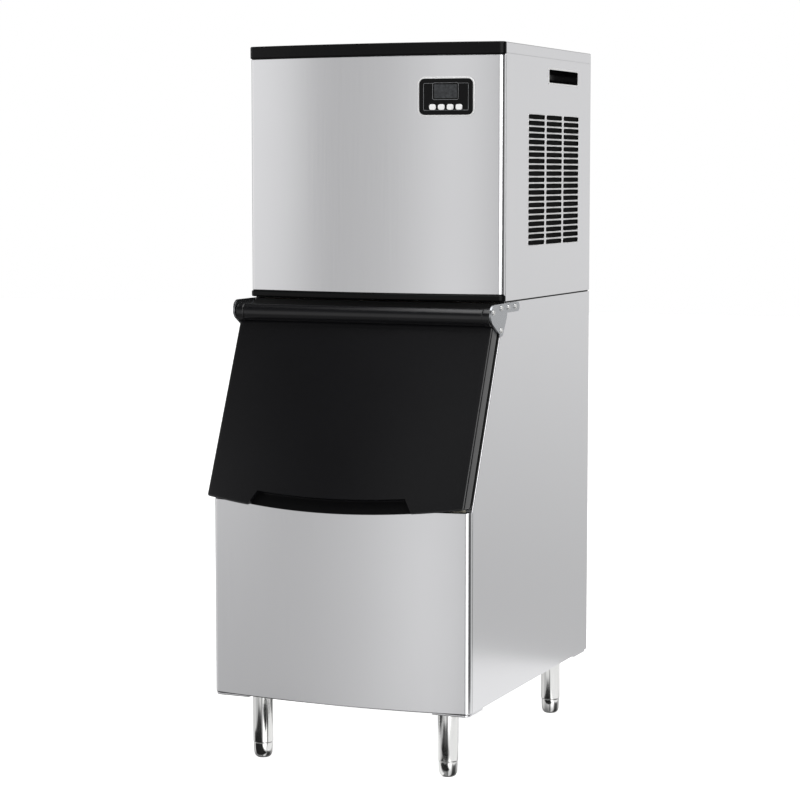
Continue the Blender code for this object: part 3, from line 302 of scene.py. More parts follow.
plainFinishes = {
    steelFront: ("head_front_panel", "head_left_side", "head_right_side", "bin_left_side",
                 "bin_right_side", "bin_front_panel"),
    steelTop: ("head_top_cover",),
    plated: ("left_hinge_plate", "right_hinge_plate"),
    polished: ("hinge_rod", "water_inlet", "evaporator",
               "front_left_leg", "front_right_leg", "back_left_leg", "back_right_leg",
               "front_left_foot", "front_right_foot", "back_left_foot", "back_right_foot"),
    galvanised: ("head_back_panel", "head_base_pan", "bin_back_panel", "bin_bottom_panel",
                 "partition", "condenser", "fan_shroud"),
    trimBlack: ("head_top_trim", "head_bottom_trim", "control_bezel"),
    glossBlack: ("left_handle_cup", "right_handle_cup", "door_left_cap", "door_right_cap"),
    doorBlack: ("door_shell",),
    satinBlack: ("bin_door_frame", "fan", "drain_outlet", "cable_gland", "bin_drain"),
    linerWhite: ("bin_liner", "door_inner_panel"),
    silverPlastic: tuple(f"control_button_{index}" for index in (1, 2, 3, 4)),
    greyPlastic: ("water_curtain", "water_distributor", "water_trough"),
    rubber: ("door_gasket", "head_seal"),
    copper: ("refrigerant_pipe",),
    enamel: ("compressor", "fan_motor", "water_pump"),
    foam: ("bin_insulation",),
    circuitGreen: ("control_board",),
    displayWindow: ("display_window",),
}
for finish, names in plainFinishes.items():
    for name in names:
        cadNodes[name].data.materials.clear()
        cadNodes[name].data.materials.append(finish)
print("materials on the CAD nodes")


# Modelling helpers
def clearSelection():
    if bpy.context.mode != "OBJECT":
        bpy.ops.object.mode_set(mode="OBJECT")
    bpy.ops.object.select_all(action="DESELECT")


def chooseOnly(piece):
    clearSelection()
    piece.select_set(True)
    bpy.context.view_layer.objects.active = piece


def startPiece(name):
    piece = bpy.context.active_object
    piece.name = name
    piece.data.name = name
    bpy.ops.object.transform_apply(location=True, rotation=True, scale=True)
    return piece


def addBlock(name, low, high):
    clearSelection()
    low, high = Vector(low), Vector(high)
    bpy.ops.mesh.primitive_cube_add(size=1.0, location=(low + high) / 2, scale=high - low)
    return startPiece(name)


def addRound(name, start, end, radius, sides=48):
    clearSelection()
    start, end = Vector(start), Vector(end)
    turn = (end - start).to_track_quat("Z", "Y").to_euler()
    bpy.ops.mesh.primitive_cylinder_add(
        vertices=sides, radius=radius, depth=(end - start).length, location=(start + end) / 2,
        rotation=turn,
    )
    return startPiece(name)


def openEdit(piece, mode="FACE"):
    chooseOnly(piece)
    bpy.ops.object.mode_set(mode="EDIT")
    bpy.ops.mesh.select_mode(type=mode)
    bpy.ops.mesh.select_all(action="DESELECT")
    return bmesh.from_edit_mesh(piece.data)


def closeEdit():
    bpy.ops.object.mode_set(mode="OBJECT")


def pickFaces(piece, test):
    shape = openEdit(piece, "FACE")
    for face in shape.faces:
        face.select_set(bool(test(face.calc_center_median(), face.normal)))
    shape.select_flush_mode()
    bmesh.update_edit_mesh(piece.data)


def pickEdges(piece, test):
    shape = openEdit(piece, "EDGE")
    for edge in shape.edges:
        edge.select_set(bool(test(edge)))
    shape.select_flush_mode()
    bmesh.update_edit_mesh(piece.data)


def pickVertices(piece, test):
    shape = openEdit(piece, "VERT")
    for vertex in shape.verts:
        vertex.select_set(bool(test(vertex.co)))
    shape.select_flush_mode()
    bmesh.update_edit_mesh(piece.data)


def bothEnds(edge, test):
    return test(edge.verts[0].co) and test(edge.verts[1].co)


def near(value, target, slack=0.00005):
    return abs(value - target) < slack


def runsAlong(edge, axis):
    start, end = edge.verts[0].co, edge.verts[1].co
    return all(near(start[index], end[index]) for index in range(3) if index != axis)


def paintPicked(piece, index):
    piece.active_material_index = index
    bpy.ops.object.material_slot_assign()


def bevelPicked(width, segments, profile=0.5):
    bpy.ops.mesh.bevel(offset=width, segments=segments, profile=profile, affect="EDGES")


def applyModifier(piece, kind, **settings):
    chooseOnly(piece)
    change = piece.modifiers.new(kind.title(), kind)
    for key, value in settings.items():
        setattr(change, key, value)
    bpy.ops.object.modifier_apply(modifier=change.name)


def roundEdges(piece, width, segments=3, degrees=40):
    applyModifier(
        piece, "BEVEL", width=width, segments=segments, limit_method="ANGLE",
        angle_limit=math.radians(degrees), miter_outer="MITER_ARC",
    )


def thicken(piece, wall, offset=-1.0):
    applyModifier(piece, "SOLIDIFY", thickness=wall, offset=offset, use_even_offset=True)


def cutWith(piece, cutter, operation="DIFFERENCE"):
    applyModifier(piece, "BOOLEAN", object=cutter, operation=operation, solver="EXACT")
    bpy.data.objects.remove(cutter, do_unlink=True)


def joinPieces(first, others):
    chooseOnly(first)
    for other in others:
        other.select_set(True)
    bpy.ops.object.join()
    return first


def copyPiece(piece, name, shift=(0, 0, 0)):
    made = piece.copy()
    made.data = piece.data.copy()
    made.name = made.data.name = name
    bpy.context.scene.collection.objects.link(made)
    made.data.transform(Matrix.Translation(shift))
    return made


def faceOutwards(piece):
    openEdit(piece)
    bpy.ops.mesh.select_all(action="SELECT")
    bpy.ops.mesh.remove_doubles(threshold=0.000001)
    bpy.ops.mesh.normals_make_consistent(inside=False)
    closeEdit()


def placePiece(piece, matrix):
    piece.data.transform(matrix)
    if matrix.determinant() < 0:
        piece.data.flip_normals()


def mirrorCopy(piece, name):
    made = copyPiece(piece, name)
    placePiece(made, Matrix.Diagonal((-1.0, 1.0, 1.0, 1.0)))
    return made


def finishPiece(piece, finish, body, replaces=(), smoothDegrees=32):
    chooseOnly(piece)
    bpy.ops.object.shade_smooth_by_angle(angle=math.radians(smoothDegrees))
    # The large flat faces keep their true normals beside small rounded edges
    applyModifier(piece, "WEIGHTED_NORMAL", mode="FACE_AREA", weight=90, keep_sharp=True)
    if not piece.data.materials:
        piece.data.materials.append(finish)
    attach(piece, body)
    if replaces:
        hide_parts(*replaces)
    return piece


# Bowed sheets: head front, bin front and the two black trims
def bowShape(depth, bow):
    centreX = cabinet["half"] - cabinet["cornerRadius"]
    centreY = atDepth(depth) + cabinet["cornerRadius"]
    turn = 2 * math.atan2(bow, centreX)
    radius = centreX / math.sin(turn)
    return {"centreX": centreX, "centreY": centreY, "turn": turn, "radius": radius,
            "longY": centreY - bow + radius}


def spinPicked(steps, angle, centre):
    bpy.ops.mesh.spin(steps=steps, angle=-angle, center=centre, axis=(0.0, 0.0, 1.0))


def bowedSheet(name, depth, bow, low, high, grow=0.0, bowSteps=40, cornerSteps=10):
    # A strip at the left end is spun round the corner, the bow and the other corner
    shape = bowShape(depth, bow)
    edgeX = cabinet["half"] + grow
    backY = shape["centreY"] + cabinet["cornerRun"]
    clearSelection()
    bpy.ops.mesh.primitive_plane_add(
        size=1.0, location=(-edgeX, (backY + shape["centreY"]) / 2, (low + high) / 2),
        rotation=(0.0, math.radians(-90), 0.0),
    )
    bpy.context.active_object.scale = (high - low, cabinet["cornerRun"], 1.0)
    sheet = startPiece(name)
    frontEdge = lambda point: near(point.y, shape["centreY"])
    pickEdges(sheet, lambda edge: bothEnds(edge, frontEdge))
    quarter = math.radians(90) - shape["turn"]
    spinPicked(cornerSteps, quarter, (-shape["centreX"], shape["centreY"], 0.0))
    spinPicked(bowSteps, 2 * shape["turn"], (0.0, shape["longY"], 0.0))
    spinPicked(cornerSteps, quarter, (shape["centreX"], shape["centreY"], 0.0))
    bpy.ops.mesh.extrude_region_move(
        TRANSFORM_OT_translate={"value": (0.0, cabinet["cornerRun"], 0.0)},
    )
    for level in (low, high):
        atLevel = lambda point: near(point.z, level)
        pickEdges(sheet, lambda edge: bothEnds(edge, atLevel))
        bpy.ops.mesh.edge_face_add()
    faceOutwards(sheet)
    return sheet


def closeBack(sheet):
    openEdit(sheet, "EDGE")
    bpy.ops.mesh.select_non_manifold()
    bpy.ops.mesh.edge_face_add()
    faceOutwards(sheet)


def makeFronts():
    for name, node, depth, bow in (
        ("headFrontSheet", "head_front_panel", cabinet["headDepth"], cabinet["headBow"]),
        ("binFrontSheet", "bin_front_panel", cabinet["binDepth"], cabinet["binBow"]),
    ):
        panel = bowedSheet(name, depth, bow, lowOf(node).z, highOf(node).z)
        roundEdges(panel, cabinet["foldRadius"], 3, 60)
        thicken(panel, cabinet["sheet"])
        if node == "head_front_panel":
            half = Vector(panelShape["neck"]) / 2
            neck = addBlock("neckCutter", -half, half)
            placePiece(neck, panelMatrix())
            cutWith(panel, neck)
        finishPiece(panel, steelFront, "cabinet", (node,))


trimShape = {"stand": 0.002, "edgeRadius": 0.0028}


def makeTrims():
    for name, node in (("headTopTrim", "head_top_trim"), ("headBottomTrim", "head_bottom_trim")):
        low, high = lowOf(node).z, highOf(node).z
        trim = bowedSheet(
            name, cabinet["headDepth"], cabinet["headBow"], low, high, trimShape["stand"],
        )
        closeBack(trim)
        roundEdges(trim, trimShape["edgeRadius"], 4, 60)
        finishPiece(trim, trimBlack, "cabinet", (node,))


# Flat folded sheets
sideSheet = {"fold": 0.014, "levelRadius": 0.0009, "uprightRadius": 0.0024, "shortEdge": 0.1}


def openSheet(piece, side):
    # The outer edges are rounded, then the inner face goes and the skin gets its thickness
    outerX = side * cabinet["half"]
    outer = lambda point: near(point.x, outerX)
    level = lambda edge: near(edge.verts[0].co.z, edge.verts[1].co.z)
    pickEdges(piece, lambda edge: bothEnds(edge, outer) and not level(edge))
    bevelPicked(sideSheet["uprightRadius"], 5)
    pickEdges(piece, lambda edge: (
        bothEnds(edge, outer) and level(edge) and edge.calc_length() > sideSheet["shortEdge"]
    ))
    bevelPicked(sideSheet["levelRadius"], 3)
    pickFaces(piece, lambda centre, normal: normal.x * side < -0.9)
    bpy.ops.mesh.delete(type="FACE")
    closeEdit()
    thicken(piece, cabinet["sheet"])


def makeBinSides():
    headFront, binFront = lowOf("head_right_side").y, lowOf("bin_right_side").y
    top, shoulder = highOf("bin_right_side").z, highOf("bin_front_panel").z
    for name, node, side in (
        ("binLeftSheet", "bin_left_side", -1), ("binRightSheet", "bin_right_side", 1),
    ):
        sheet = addBlock(name, *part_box(node))
        openEdit(sheet)
        bpy.ops.mesh.select_all(action="SELECT")
        bpy.ops.mesh.bisect(
            plane_co=(0.0, headFront, top), plane_no=(0.0, -(top - shoulder), headFront - binFront),
            use_fill=True, clear_outer=True,
        )
        closeEdit()
        openSheet(sheet, side)
        finishPiece(sheet, steelFront, "cabinet", (node,))


ventShape = {
    "rows": 21,
    "columns": 3,
    "pitch": 0.01288,
    "columnPitch": 0.1083,
    "length": 0.100,
    "height": 0.0101,
    "depth": 0.2403,
    "belowTop": 0.1447,
    "rim": 0.0006,
}


def stretchHalves(piece, distance, centre):
    # Pulls the two halves of a round shape apart along Y, which makes it a long slot
    for sign in (-1, 1):
        pickVertices(piece, lambda point: (point.y - centre.y) * sign > 0.00001)
        bpy.ops.transform.translate(value=(0.0, sign * distance, 0.0))
    closeEdit()


def repeatSlots(piece):
    shift = (0.0, 0.0, -ventShape["pitch"])
    applyModifier(
        piece, "ARRAY", count=ventShape["rows"], use_relative_offset=False,
        use_constant_offset=True, constant_offset_displace=shift,
    )
    applyModifier(
        piece, "ARRAY", count=ventShape["columns"], use_relative_offset=False,
        use_constant_offset=True,
        constant_offset_displace=(0.0, -ventShape["columnPitch"], 0.0),
    )


def firstSlotCentre(side):
    column = (ventShape["columns"] - 1) / 2 * ventShape["columnPitch"]
    top = highOf("head_top_cover").z - ventShape["belowTop"]
    return Vector((side * cabinet["half"], atDepth(ventShape["depth"]) + column, top))


def makeSlotCutter(side):
    centre = firstSlotCentre(side)
    radius = ventShape["height"] / 2
    reach = Vector((sideSheet["fold"], 0.0, 0.0))
    cutter = addRound("slotCutter", centre - reach, centre + reach, radius, 16)
    stretchHalves(cutter, ventShape["length"] / 2 - radius, centre)
    repeatSlots(cutter)
    return cutter


def makeSlotRims(name, side):
    # The pressed lip round each slot, in the near-white edge finish: a painted highlight ring
    centre = firstSlotCentre(side)
    radius = ventShape["height"] / 2
    clearSelection()
    bpy.ops.mesh.primitive_torus_add(
        major_segments=16, minor_segments=5, major_radius=radius + ventShape["rim"],
        minor_radius=ventShape["rim"], location=centre, rotation=(0.0, math.radians(90), 0.0),
    )
    rim = startPiece(name)
    stretchHalves(rim, ventShape["length"] / 2 - radius, centre)
    repeatSlots(rim)
    finishPiece(rim, paintedHighlightEdge, "cabinet", smoothDegrees=80)


def makeHeadSides():
    for name, node, side, cup in (
        ("headLeftSheet", "head_left_side", -1, "left_handle_cup"),
        ("headRightSheet", "head_right_side", 1, "right_handle_cup"),
    ):
        sheet = addBlock(name, *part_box(node))
        openSheet(sheet, side)
        cutWith(sheet, makeSlotCutter(side))
        cupLow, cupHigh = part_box(cup)
        spare = Vector((sideSheet["fold"], 0.0003, 0.0003))
        hole = addBlock("handleCutter", cupLow - spare, cupHigh + spare)
        cutWith(sheet, hole)
        finishPiece(sheet, steelFront, "cabinet", (node,))
        makeSlotRims(name + "SlotLips", side)
        makeVentFilter(name + "Filter", side)


ventFilter = {"margin": 0.012, "gap": 0.0008, "wall": 0.0015, "frame": 0.006, "sink": 0.4}


def makeVentFilter(name, side):
    # Dust filter behind the slots, in a thin frame
    slot = firstSlotCentre(side)
    margin = ventFilter["margin"]
    innerX = side * (cabinet["half"] - cabinet["sheet"] - ventFilter["gap"])
    wall = side * ventFilter["wall"]
    backY = slot.y + ventShape["length"] / 2 + margin
    frontY = backY - 2 * ventShape["columnPitch"] - ventShape["length"] - 2 * margin
    topZ = slot.z + margin
    lowZ = slot.z - (ventShape["rows"] - 1) * ventShape["pitch"] - margin
    low = (min(innerX, innerX - wall), frontY, lowZ)
    high = (max(innerX, innerX - wall), backY, topZ)
    cloth = addBlock(name, low, high)
    pickFaces(cloth, lambda centre, normal: normal.x * side > 0.9)
    bpy.ops.mesh.inset(thickness=ventFilter["frame"], depth=0.0)
    bpy.ops.mesh.extrude_region_move(
        TRANSFORM_OT_translate={"value": (-wall * ventFilter["sink"], 0.0, 0.0)},
    )
    closeEdit()
    finishPiece(cloth, filterCloth, "cabinet")


coverShape = {"radius": 0.0025}


def makeTopCover():
    low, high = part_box("head_top_cover")
    cover = addBlock("headTopCoverSheet", low, high)
    pickEdges(cover, lambda edge: not bothEnds(edge, lambda point: near(point.z, low.z)))
    bevelPicked(coverShape["radius"], 4)
    pickFaces(cover, lambda centre, normal: normal.z < -0.9)
    bpy.ops.mesh.delete(type="FACE")
    closeEdit()
    thicken(cover, cabinet["sheet"])
    finishPiece(cover, steelTop, "cabinet", ("head_top_cover",))


# Side handle cups
cupShape = {"lip": 0.0035, "lipStand": 0.0010, "scoop": 0.012, "corner": 0.0035}


def makeHandleCups():
    for name, node, side in (
        ("leftHandleCup", "left_handle_cup", -1), ("rightHandleCup", "right_handle_cup", 1),
    ):
        low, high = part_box(node)
        cup = addBlock(name, low, high)
        outerX = side * cabinet["half"]
        innerFace = lambda point: not near(point.x, outerX)
        pickEdges(cup, lambda edge: bothEnds(edge, innerFace) and runsAlong(edge, 1))
        bevelPicked(cupShape["scoop"], 8)
        pickEdges(cup, lambda edge: runsAlong(edge, 0))
        bevelPicked(cupShape["corner"], 3)
        pickFaces(cup, lambda centre, normal: normal.x * side > 0.9)
        bpy.ops.mesh.delete(type="FACE")
        # The lip: the open edge goes out a little, then round the hole
        openEdit(cup, "EDGE")
        bpy.ops.mesh.select_non_manifold()
        bpy.ops.mesh.extrude_region_move(
            TRANSFORM_OT_translate={"value": (side * cupShape["lipStand"], 0.0, 0.0)},
        )
        middle = (low + high) / 2
        size = high - low
        bpy.ops.mesh.extrude_region_move(TRANSFORM_OT_translate={"value": (0.0, 0.0, 0.0)})
        bpy.ops.transform.resize(
            value=(1.0, 1 + 2 * cupShape["lip"] / size.y, 1 + 2 * cupShape["lip"] / size.z),
            center_override=(outerX, middle.y, middle.z),
        )
        bpy.ops.mesh.extrude_region_move(
            TRANSFORM_OT_translate={"value": (-side * cupShape["lipStand"] * 0.9, 0.0, 0.0)},
        )
        closeEdit()
        faceOutwards(cup)
        cup.data.materials.append(glossBlack)
        cup.data.materials.append(paintedHighlightEdge)
        pickFaces(cup, lambda centre, normal: centre.x * side > cabinet["half"] + 0.00005)  # the lip
        # The lip takes the near-white edge finish, a painted highlight round the hole
        paintPicked(cup, 1)
        closeEdit()
        finishPiece(cup, glossBlack, "cabinet", (node,), 50)


# Control panel
panelShape = {
    "width": 0.111,
    "height": 0.072,
    "corner": 0.011,
    "stand": 0.004,
    "across": 0.165,
    "belowTop": 0.1083,
    "border": 0.0062,
    "edge": 0.0016,
    "sink": 0.0012,
    "line": 0.0007,
    # The hole in the sheet behind the panel: width, depth and height
    "neck": (0.102, 0.060, 0.058),
    "rimWidth": 0.0032,
    "rimStand": 0.0012,
    "rimEdge": 0.0007,
    "screenWidth": 0.0536,
    "screenHeight": 0.034,
    "screenAcross": -0.0007,
    "screenRise": 0.0108,
    "screenCorner": 0.0034,
    "screenBorder": 0.0022,
    "screenBack": 0.0020,
    "screenSink": 0.0004,
    "buttonWidth": 0.0136,
    "buttonHeight": 0.0112,
    "buttonStand": 0.0016,
    "buttonRoot": 0.0020,
    "buttonCorner": 0.0040,
    "buttonEdge": 0.0012,
}


def panelMatrix():
    shape = bowShape(cabinet["headDepth"], cabinet["headBow"])
    radius = shape["radius"] + cabinet["cornerRadius"]
    lean = math.asin(panelShape["across"] / radius)
    place = Vector((
        panelShape["across"], shape["longY"] - radius * math.cos(lean),
        highOf("head_top_cover").z - panelShape["belowTop"],
    ))
    return Matrix.Translation(place) @ Matrix.Rotation(lean, 4, "Z")


def roundedPlate(name, centre, width, height, corner, back, front, segments=8):
    # A plate in the panel's own frame: X right, Z up, and -Y out of the front
    low = (centre[0] - width / 2, -front, centre[1] - height / 2)
    high = (centre[0] + width / 2, -back, centre[1] + height / 2)
    plate = addBlock(name, low, high)
    pickEdges(plate, lambda edge: runsAlong(edge, 1))
    bevelPicked(corner, segments)
    closeEdit()
    return plate


def pickFront(piece):
    pickFaces(piece, lambda centre, normal: normal.y < -0.99)


def bevelFront(piece, width, segments):
    pickFront(piece)
    bpy.ops.mesh.region_to_loop()
    bevelPicked(width, segments)


def makeControlPanel():
    matrix = panelMatrix()
    bezel = roundedPlate(
        "controlBezel", (0.0, 0.0), panelShape["width"], panelShape["height"],
        panelShape["corner"], 0.0, panelShape["stand"],
    )
    bezel.data.materials.append(trimBlack)
    bezel.data.materials.append(linePaint)
    bevelFront(bezel, panelShape["edge"], 4)
    pickFront(bezel)
    bpy.ops.mesh.inset(thickness=panelShape["border"], depth=0.0)
    bpy.ops.mesh.inset(thickness=panelShape["sink"], depth=-panelShape["sink"])
    # The printed line is a ring: the face is painted, inset, and its middle painted back
    paintPicked(bezel, 1)
    bpy.ops.mesh.inset(thickness=panelShape["line"], depth=0.0)
    paintPicked(bezel, 0)
    closeEdit()
    placePiece(bezel, matrix)
    finishPiece(bezel, trimBlack, "cabinet", ("control_bezel",))
    makePanelRim(matrix)
    makeDisplayWindow(matrix)
    for index in (1, 2, 3, 4):
        makeButton(index, matrix)


def makePanelRim(matrix):
    # Rim of the frame behind the bezel, near-white: a painted highlight line round the panel
    spare = 2 * panelShape["rimWidth"]
    rim = roundedPlate(
        "controlPanelRim", (0.0, 0.0), panelShape["width"] + spare, panelShape["height"] + spare,
        panelShape["corner"] + panelShape["rimWidth"], -0.0002, panelShape["rimStand"],
    )
    bevelFront(rim, panelShape["rimEdge"], 3)
    closeEdit()
    placePiece(rim, matrix)
    finishPiece(rim, paintedHighlightEdge, "cabinet")


def makeDisplayWindow(matrix):
    stand, sink = panelShape["stand"], panelShape["screenSink"]
    window = roundedPlate(
        "displayWindow", (panelShape["screenAcross"], panelShape["screenRise"]),
        panelShape["screenWidth"], panelShape["screenHeight"], panelShape["screenCorner"],
        stand - panelShape["screenBack"], stand - sink, 4,
    )
    for finish in (trimBlack, linePaint, displayWindow):
        window.data.materials.append(finish)
    pickFront(window)
    paintPicked(window, 1)
    bpy.ops.mesh.inset(thickness=panelShape["line"], depth=0.0)
    paintPicked(window, 0)
    bpy.ops.mesh.inset(thickness=panelShape["screenBorder"], depth=0.0)
    bpy.ops.mesh.inset(thickness=sink, depth=-sink)
    paintPicked(window, 2)
    closeEdit()
    placePiece(window, matrix)
    finishPiece(window, displayWindow, "cabinet", ("display_window",))


def makeButton(index, matrix):
    low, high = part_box(f"control_button_{index}")
    middle = matrix.inverted() @ ((low + high) / 2)
    stand = panelShape["stand"] + panelShape["buttonStand"]
    button = roundedPlate(
        f"controlButton{index}", (middle.x, middle.z), panelShape["buttonWidth"],
        panelShape["buttonHeight"], panelShape["buttonCorner"], -panelShape["buttonRoot"], stand, 6,
    )
    bevelFront(button, panelShape["buttonEdge"], 4)
    closeEdit()
    placePiece(button, matrix)
    finishPiece(
        button, silverPlastic, f"button_{index}", (f"control_button_{index}",), 50,
    )


# Door
doorShape = {
    "axisDepth": 0.600,
    "axisHeight": 0.918,
    "half": 0.2793,
    "offset": 0.045,
    "thickness": 0.032,
    "bow": 0.027,
    "top": -0.010,
    "bottom": 0.395,
    "drop": 0.032,
    "underClear": 0.008,
    "edgeRadius": 0.0045,
    "recessTop": 0.160,
    "recessBottom": 0.186,
    "recessHeight": 0.034,
    "recessDepth": 0.014,
    "lipShort": 0.0072,
    "lipThickness": 0.003,
    "lipEdge": 0.0008,
    "tubeRadius": 0.017,
    "tubeEdge": 0.0012,
    "capRadius": 0.018,
    "capLength": 0.0165,
    "capRoom": 0.0005,
    "capEdge": 0.0022,
    # The shell is hollow between these distances down the slope, inside this wall
    "hollow": (0.025, 0.340),
    "hollowWall": 0.008,
    "faceWall": 0.004,
}


def slopeFrame():
    # The door's own frame: X across, Y out of the door, Z down the slope, from the hinge axis
    headFront, binFront = lowOf("head_right_side").y, lowOf("bin_right_side").y
    top, shoulder = highOf("bin_right_side").z, highOf("bin_front_panel").z
    angle = math.atan2(headFront - binFront, top - shoulder)
    outDepth, outHeight = math.cos(angle), math.sin(angle)
    origin = Vector((0.0, atDepth(doorShape["axisDepth"]), doorShape["axisHeight"]))
    turn = Matrix((
        (1.0, 0.0, 0.0, 0.0), (0.0, -outDepth, -outHeight, 0.0), (0.0, outHeight, -outDepth, 0.0),
        (0.0, 0.0, 0.0, 1.0),
    ))
    toDoor = (Matrix.Translation(origin) @ turn).inverted()
    surface = (toDoor @ Vector((0.0, headFront, top))).y
    front = surface + doorShape["offset"]
    back = front - doorShape["thickness"]
    axisZ = doorShape["axisHeight"]
    backBottom = (axisZ + back * outHeight - shoulder - doorShape["underClear"]) / outDepth
    return Matrix.Translation(origin) @ turn, front, back, backBottom


def doorBottom(share):
    return doorShape["bottom"] + doorShape["drop"] * (1 - share * share)


def doorSurface(share, down, front):
    part = (down - doorShape["top"]) / (doorBottom(share) - doorShape["top"])
    return front + doorShape["bow"] * (1 - share * share) * part


def doorGrid(name, columns, rows):
    # A grid pushed back into a block: x from -1 to 1, z from 0 to 1, y at 0 or 1
    clearSelection()
    bpy.ops.mesh.primitive_grid_add(
        x_subdivisions=columns, y_subdivisions=rows, size=2.0, location=(0.0, 0.0, 0.0),
        rotation=(math.radians(-90), 0.0, 0.0),
    )
    grid = startPiece(name)
    openEdit(grid)
    bpy.ops.mesh.select_all(action="SELECT")
    bpy.ops.mesh.extrude_region_move(TRANSFORM_OT_translate={"value": (0.0, -1.0, 0.0)})
    closeEdit()
    return grid


def makeDoorShell():
    matrix, front, back, backBottom = slopeFrame()
    door = doorGrid("doorShell", 48, 12)
    for vertex in door.data.vertices:
        share, level = vertex.co.x, (vertex.co.z + 1) / 2
        if vertex.co.y > -0.5:
            down = doorShape["top"] + level * (doorBottom(share) - doorShape["top"])
            out = doorSurface(share, down, front)
        else:
            down = doorShape["top"] + level * (backBottom - doorShape["top"])
            out = back
        vertex.co = (share * doorShape["half"], out, down)
    faceOutwards(door)
    roundEdges(door, doorShape["edgeRadius"], 4, 35)
    cutWith(door, makeRecessCutter(front))
    end = doorShape["half"] - doorShape["capLength"]
    for side in (-1, 1):
        cutWith(door, addRound(
            "capRoom", (side * (end - 0.0004), 0, 0), (side * (end + 0.04), 0, 0),
            doorShape["capRadius"] + doorShape["capRoom"], 48,
        ))
    inside = doorShape["half"] - doorShape["hollowWall"]
    top, bottom = doorShape["hollow"]
    cutWith(door, addBlock(
        "doorHollow", (-inside, back - 0.01, top), (inside, front - doorShape["faceWall"], bottom),
    ))
    placePiece(door, matrix)
    finishPiece(door, doorBlack, "door", ("door_shell",))
    makeDoorLip(matrix, front)
    makeDoorTube(matrix)


def makeDoorLip(matrix, front):
    # The shallow wall behind the finger recess, with a matt grain, down almost to the door's edge
    lip = doorGrid("doorLip", 32, 2)
    half, height, depth = doorShape["half"], doorShape["recessHeight"], doorShape["recessDepth"]
    for vertex in lip.data.vertices:
        level = (vertex.co.z + 1) / 2
        rise = (height - doorShape["lipShort"]) * (1 - level)
        part = (height - rise) / (height + depth)
        reach = doorShape["recessTop"] * (1 - part) + doorShape["recessBottom"] * part
        share = vertex.co.x * reach / half
        down = doorBottom(share) - doorShape["lipShort"] - rise
        out = doorSurface(share, down, front) - depth + 0.0001
        if vertex.co.y < -0.5:
            out -= doorShape["lipThickness"]
        vertex.co = (share * half, out, down)
    faceOutwards(lip)
    roundEdges(lip, doorShape["lipEdge"], 2, 60)
    placePiece(lip, matrix)
    finishPiece(lip, trimBlack, "door")


def makeRecessCutter(front):
    cutter = doorGrid("recessCutter", 32, 4)
    half, height, depth = doorShape["half"], doorShape["recessHeight"], doorShape["recessDepth"]
    for vertex in cutter.data.vertices:
        level = (vertex.co.z + 1) / 2
        reach = doorShape["recessTop"] * (1 - level) + doorShape["recessBottom"] * level
        share = vertex.co.x * reach / half
        down = doorBottom(share) - height + level * (height + depth)
        out = doorSurface(share, down, front)
        out += height if vertex.co.y > -0.5 else -depth
        vertex.co = (share * half, out, down)
    faceOutwards(cutter)
    return cutter


def makeDoorTube(matrix):
    end = doorShape["half"] - doorShape["capLength"] - 0.0003
    tube = addRound("doorTube", (-end, 0, 0), (end, 0, 0), doorShape["tubeRadius"], 64)
    roundEdges(tube, doorShape["tubeEdge"], 3, 60)
    placePiece(tube, matrix)
    finishPiece(tube, doorBlack, "door", smoothDegrees=50)
    for name, node, side in (
        ("doorLeftCap", "door_left_cap", -1), ("doorRightCap", "door_right_cap", 1),
    ):
        inner = side * (end + 0.0006)
        outer = side * doorShape["half"]
        cap = addRound(name, (inner, 0, 0), (outer, 0, 0), doorShape["capRadius"], 64)
        roundEdges(cap, doorShape["capEdge"], 4, 60)
        placePiece(cap, matrix)
        finishPiece(cap, doorBlack, "door", (node,), 50)


# Hinge plates and their screws
hingeShape = {
    # Round corners of the plate as depth, height and radius
    "corners": ((0.600, 0.9228, 0.0205), (0.549, 0.9240, 0.0195), (0.5600, 0.8880, 0.0095)),
    "thickness": 0.004,
    "strapBottom": 0.9245,
    "strapTop": 0.9435,
    "strapEnd": 0.4583,
    "edgeRadius": 0.0016,
    # Screws as depth, height and radius
    "screws": (
        (0.6076, 0.9281, 0.0058), (0.5628, 0.9350, 0.0058), (0.5229, 0.9350, 0.0056),
        (0.4836, 0.9350, 0.0056), (0.5640, 0.8905, 0.0056),
    ),
    "headHeight": 0.0024,
    "headRound": 0.75,
    # The cross recess: its half length, half width and half depth as shares
    "cross": (0.62, 0.13, 0.45),
}


def makeScrewHead(name, place, radius, side):
    # Pan head with a cross recess, modelled facing along X
    inner = Vector(place)
    outer = inner + Vector((side * hingeShape["headHeight"], 0.0, 0.0))
    head = addRound(name, inner, outer, radius, 24)
    pickFaces(head, lambda centre, normal: normal.x * side > 0.9)
    bpy.ops.mesh.region_to_loop()
    bevelPicked(hingeShape["headHeight"] * hingeShape["headRound"], 4)
    closeEdit()
    length, width, depth = hingeShape["cross"]
    for wide, tall in ((length, width), (width, length)):
        half = Vector((hingeShape["headHeight"] * depth, radius * wide, radius * tall))
        cutWith(head, addBlock("crossBar", outer - half, outer + half))
    return head


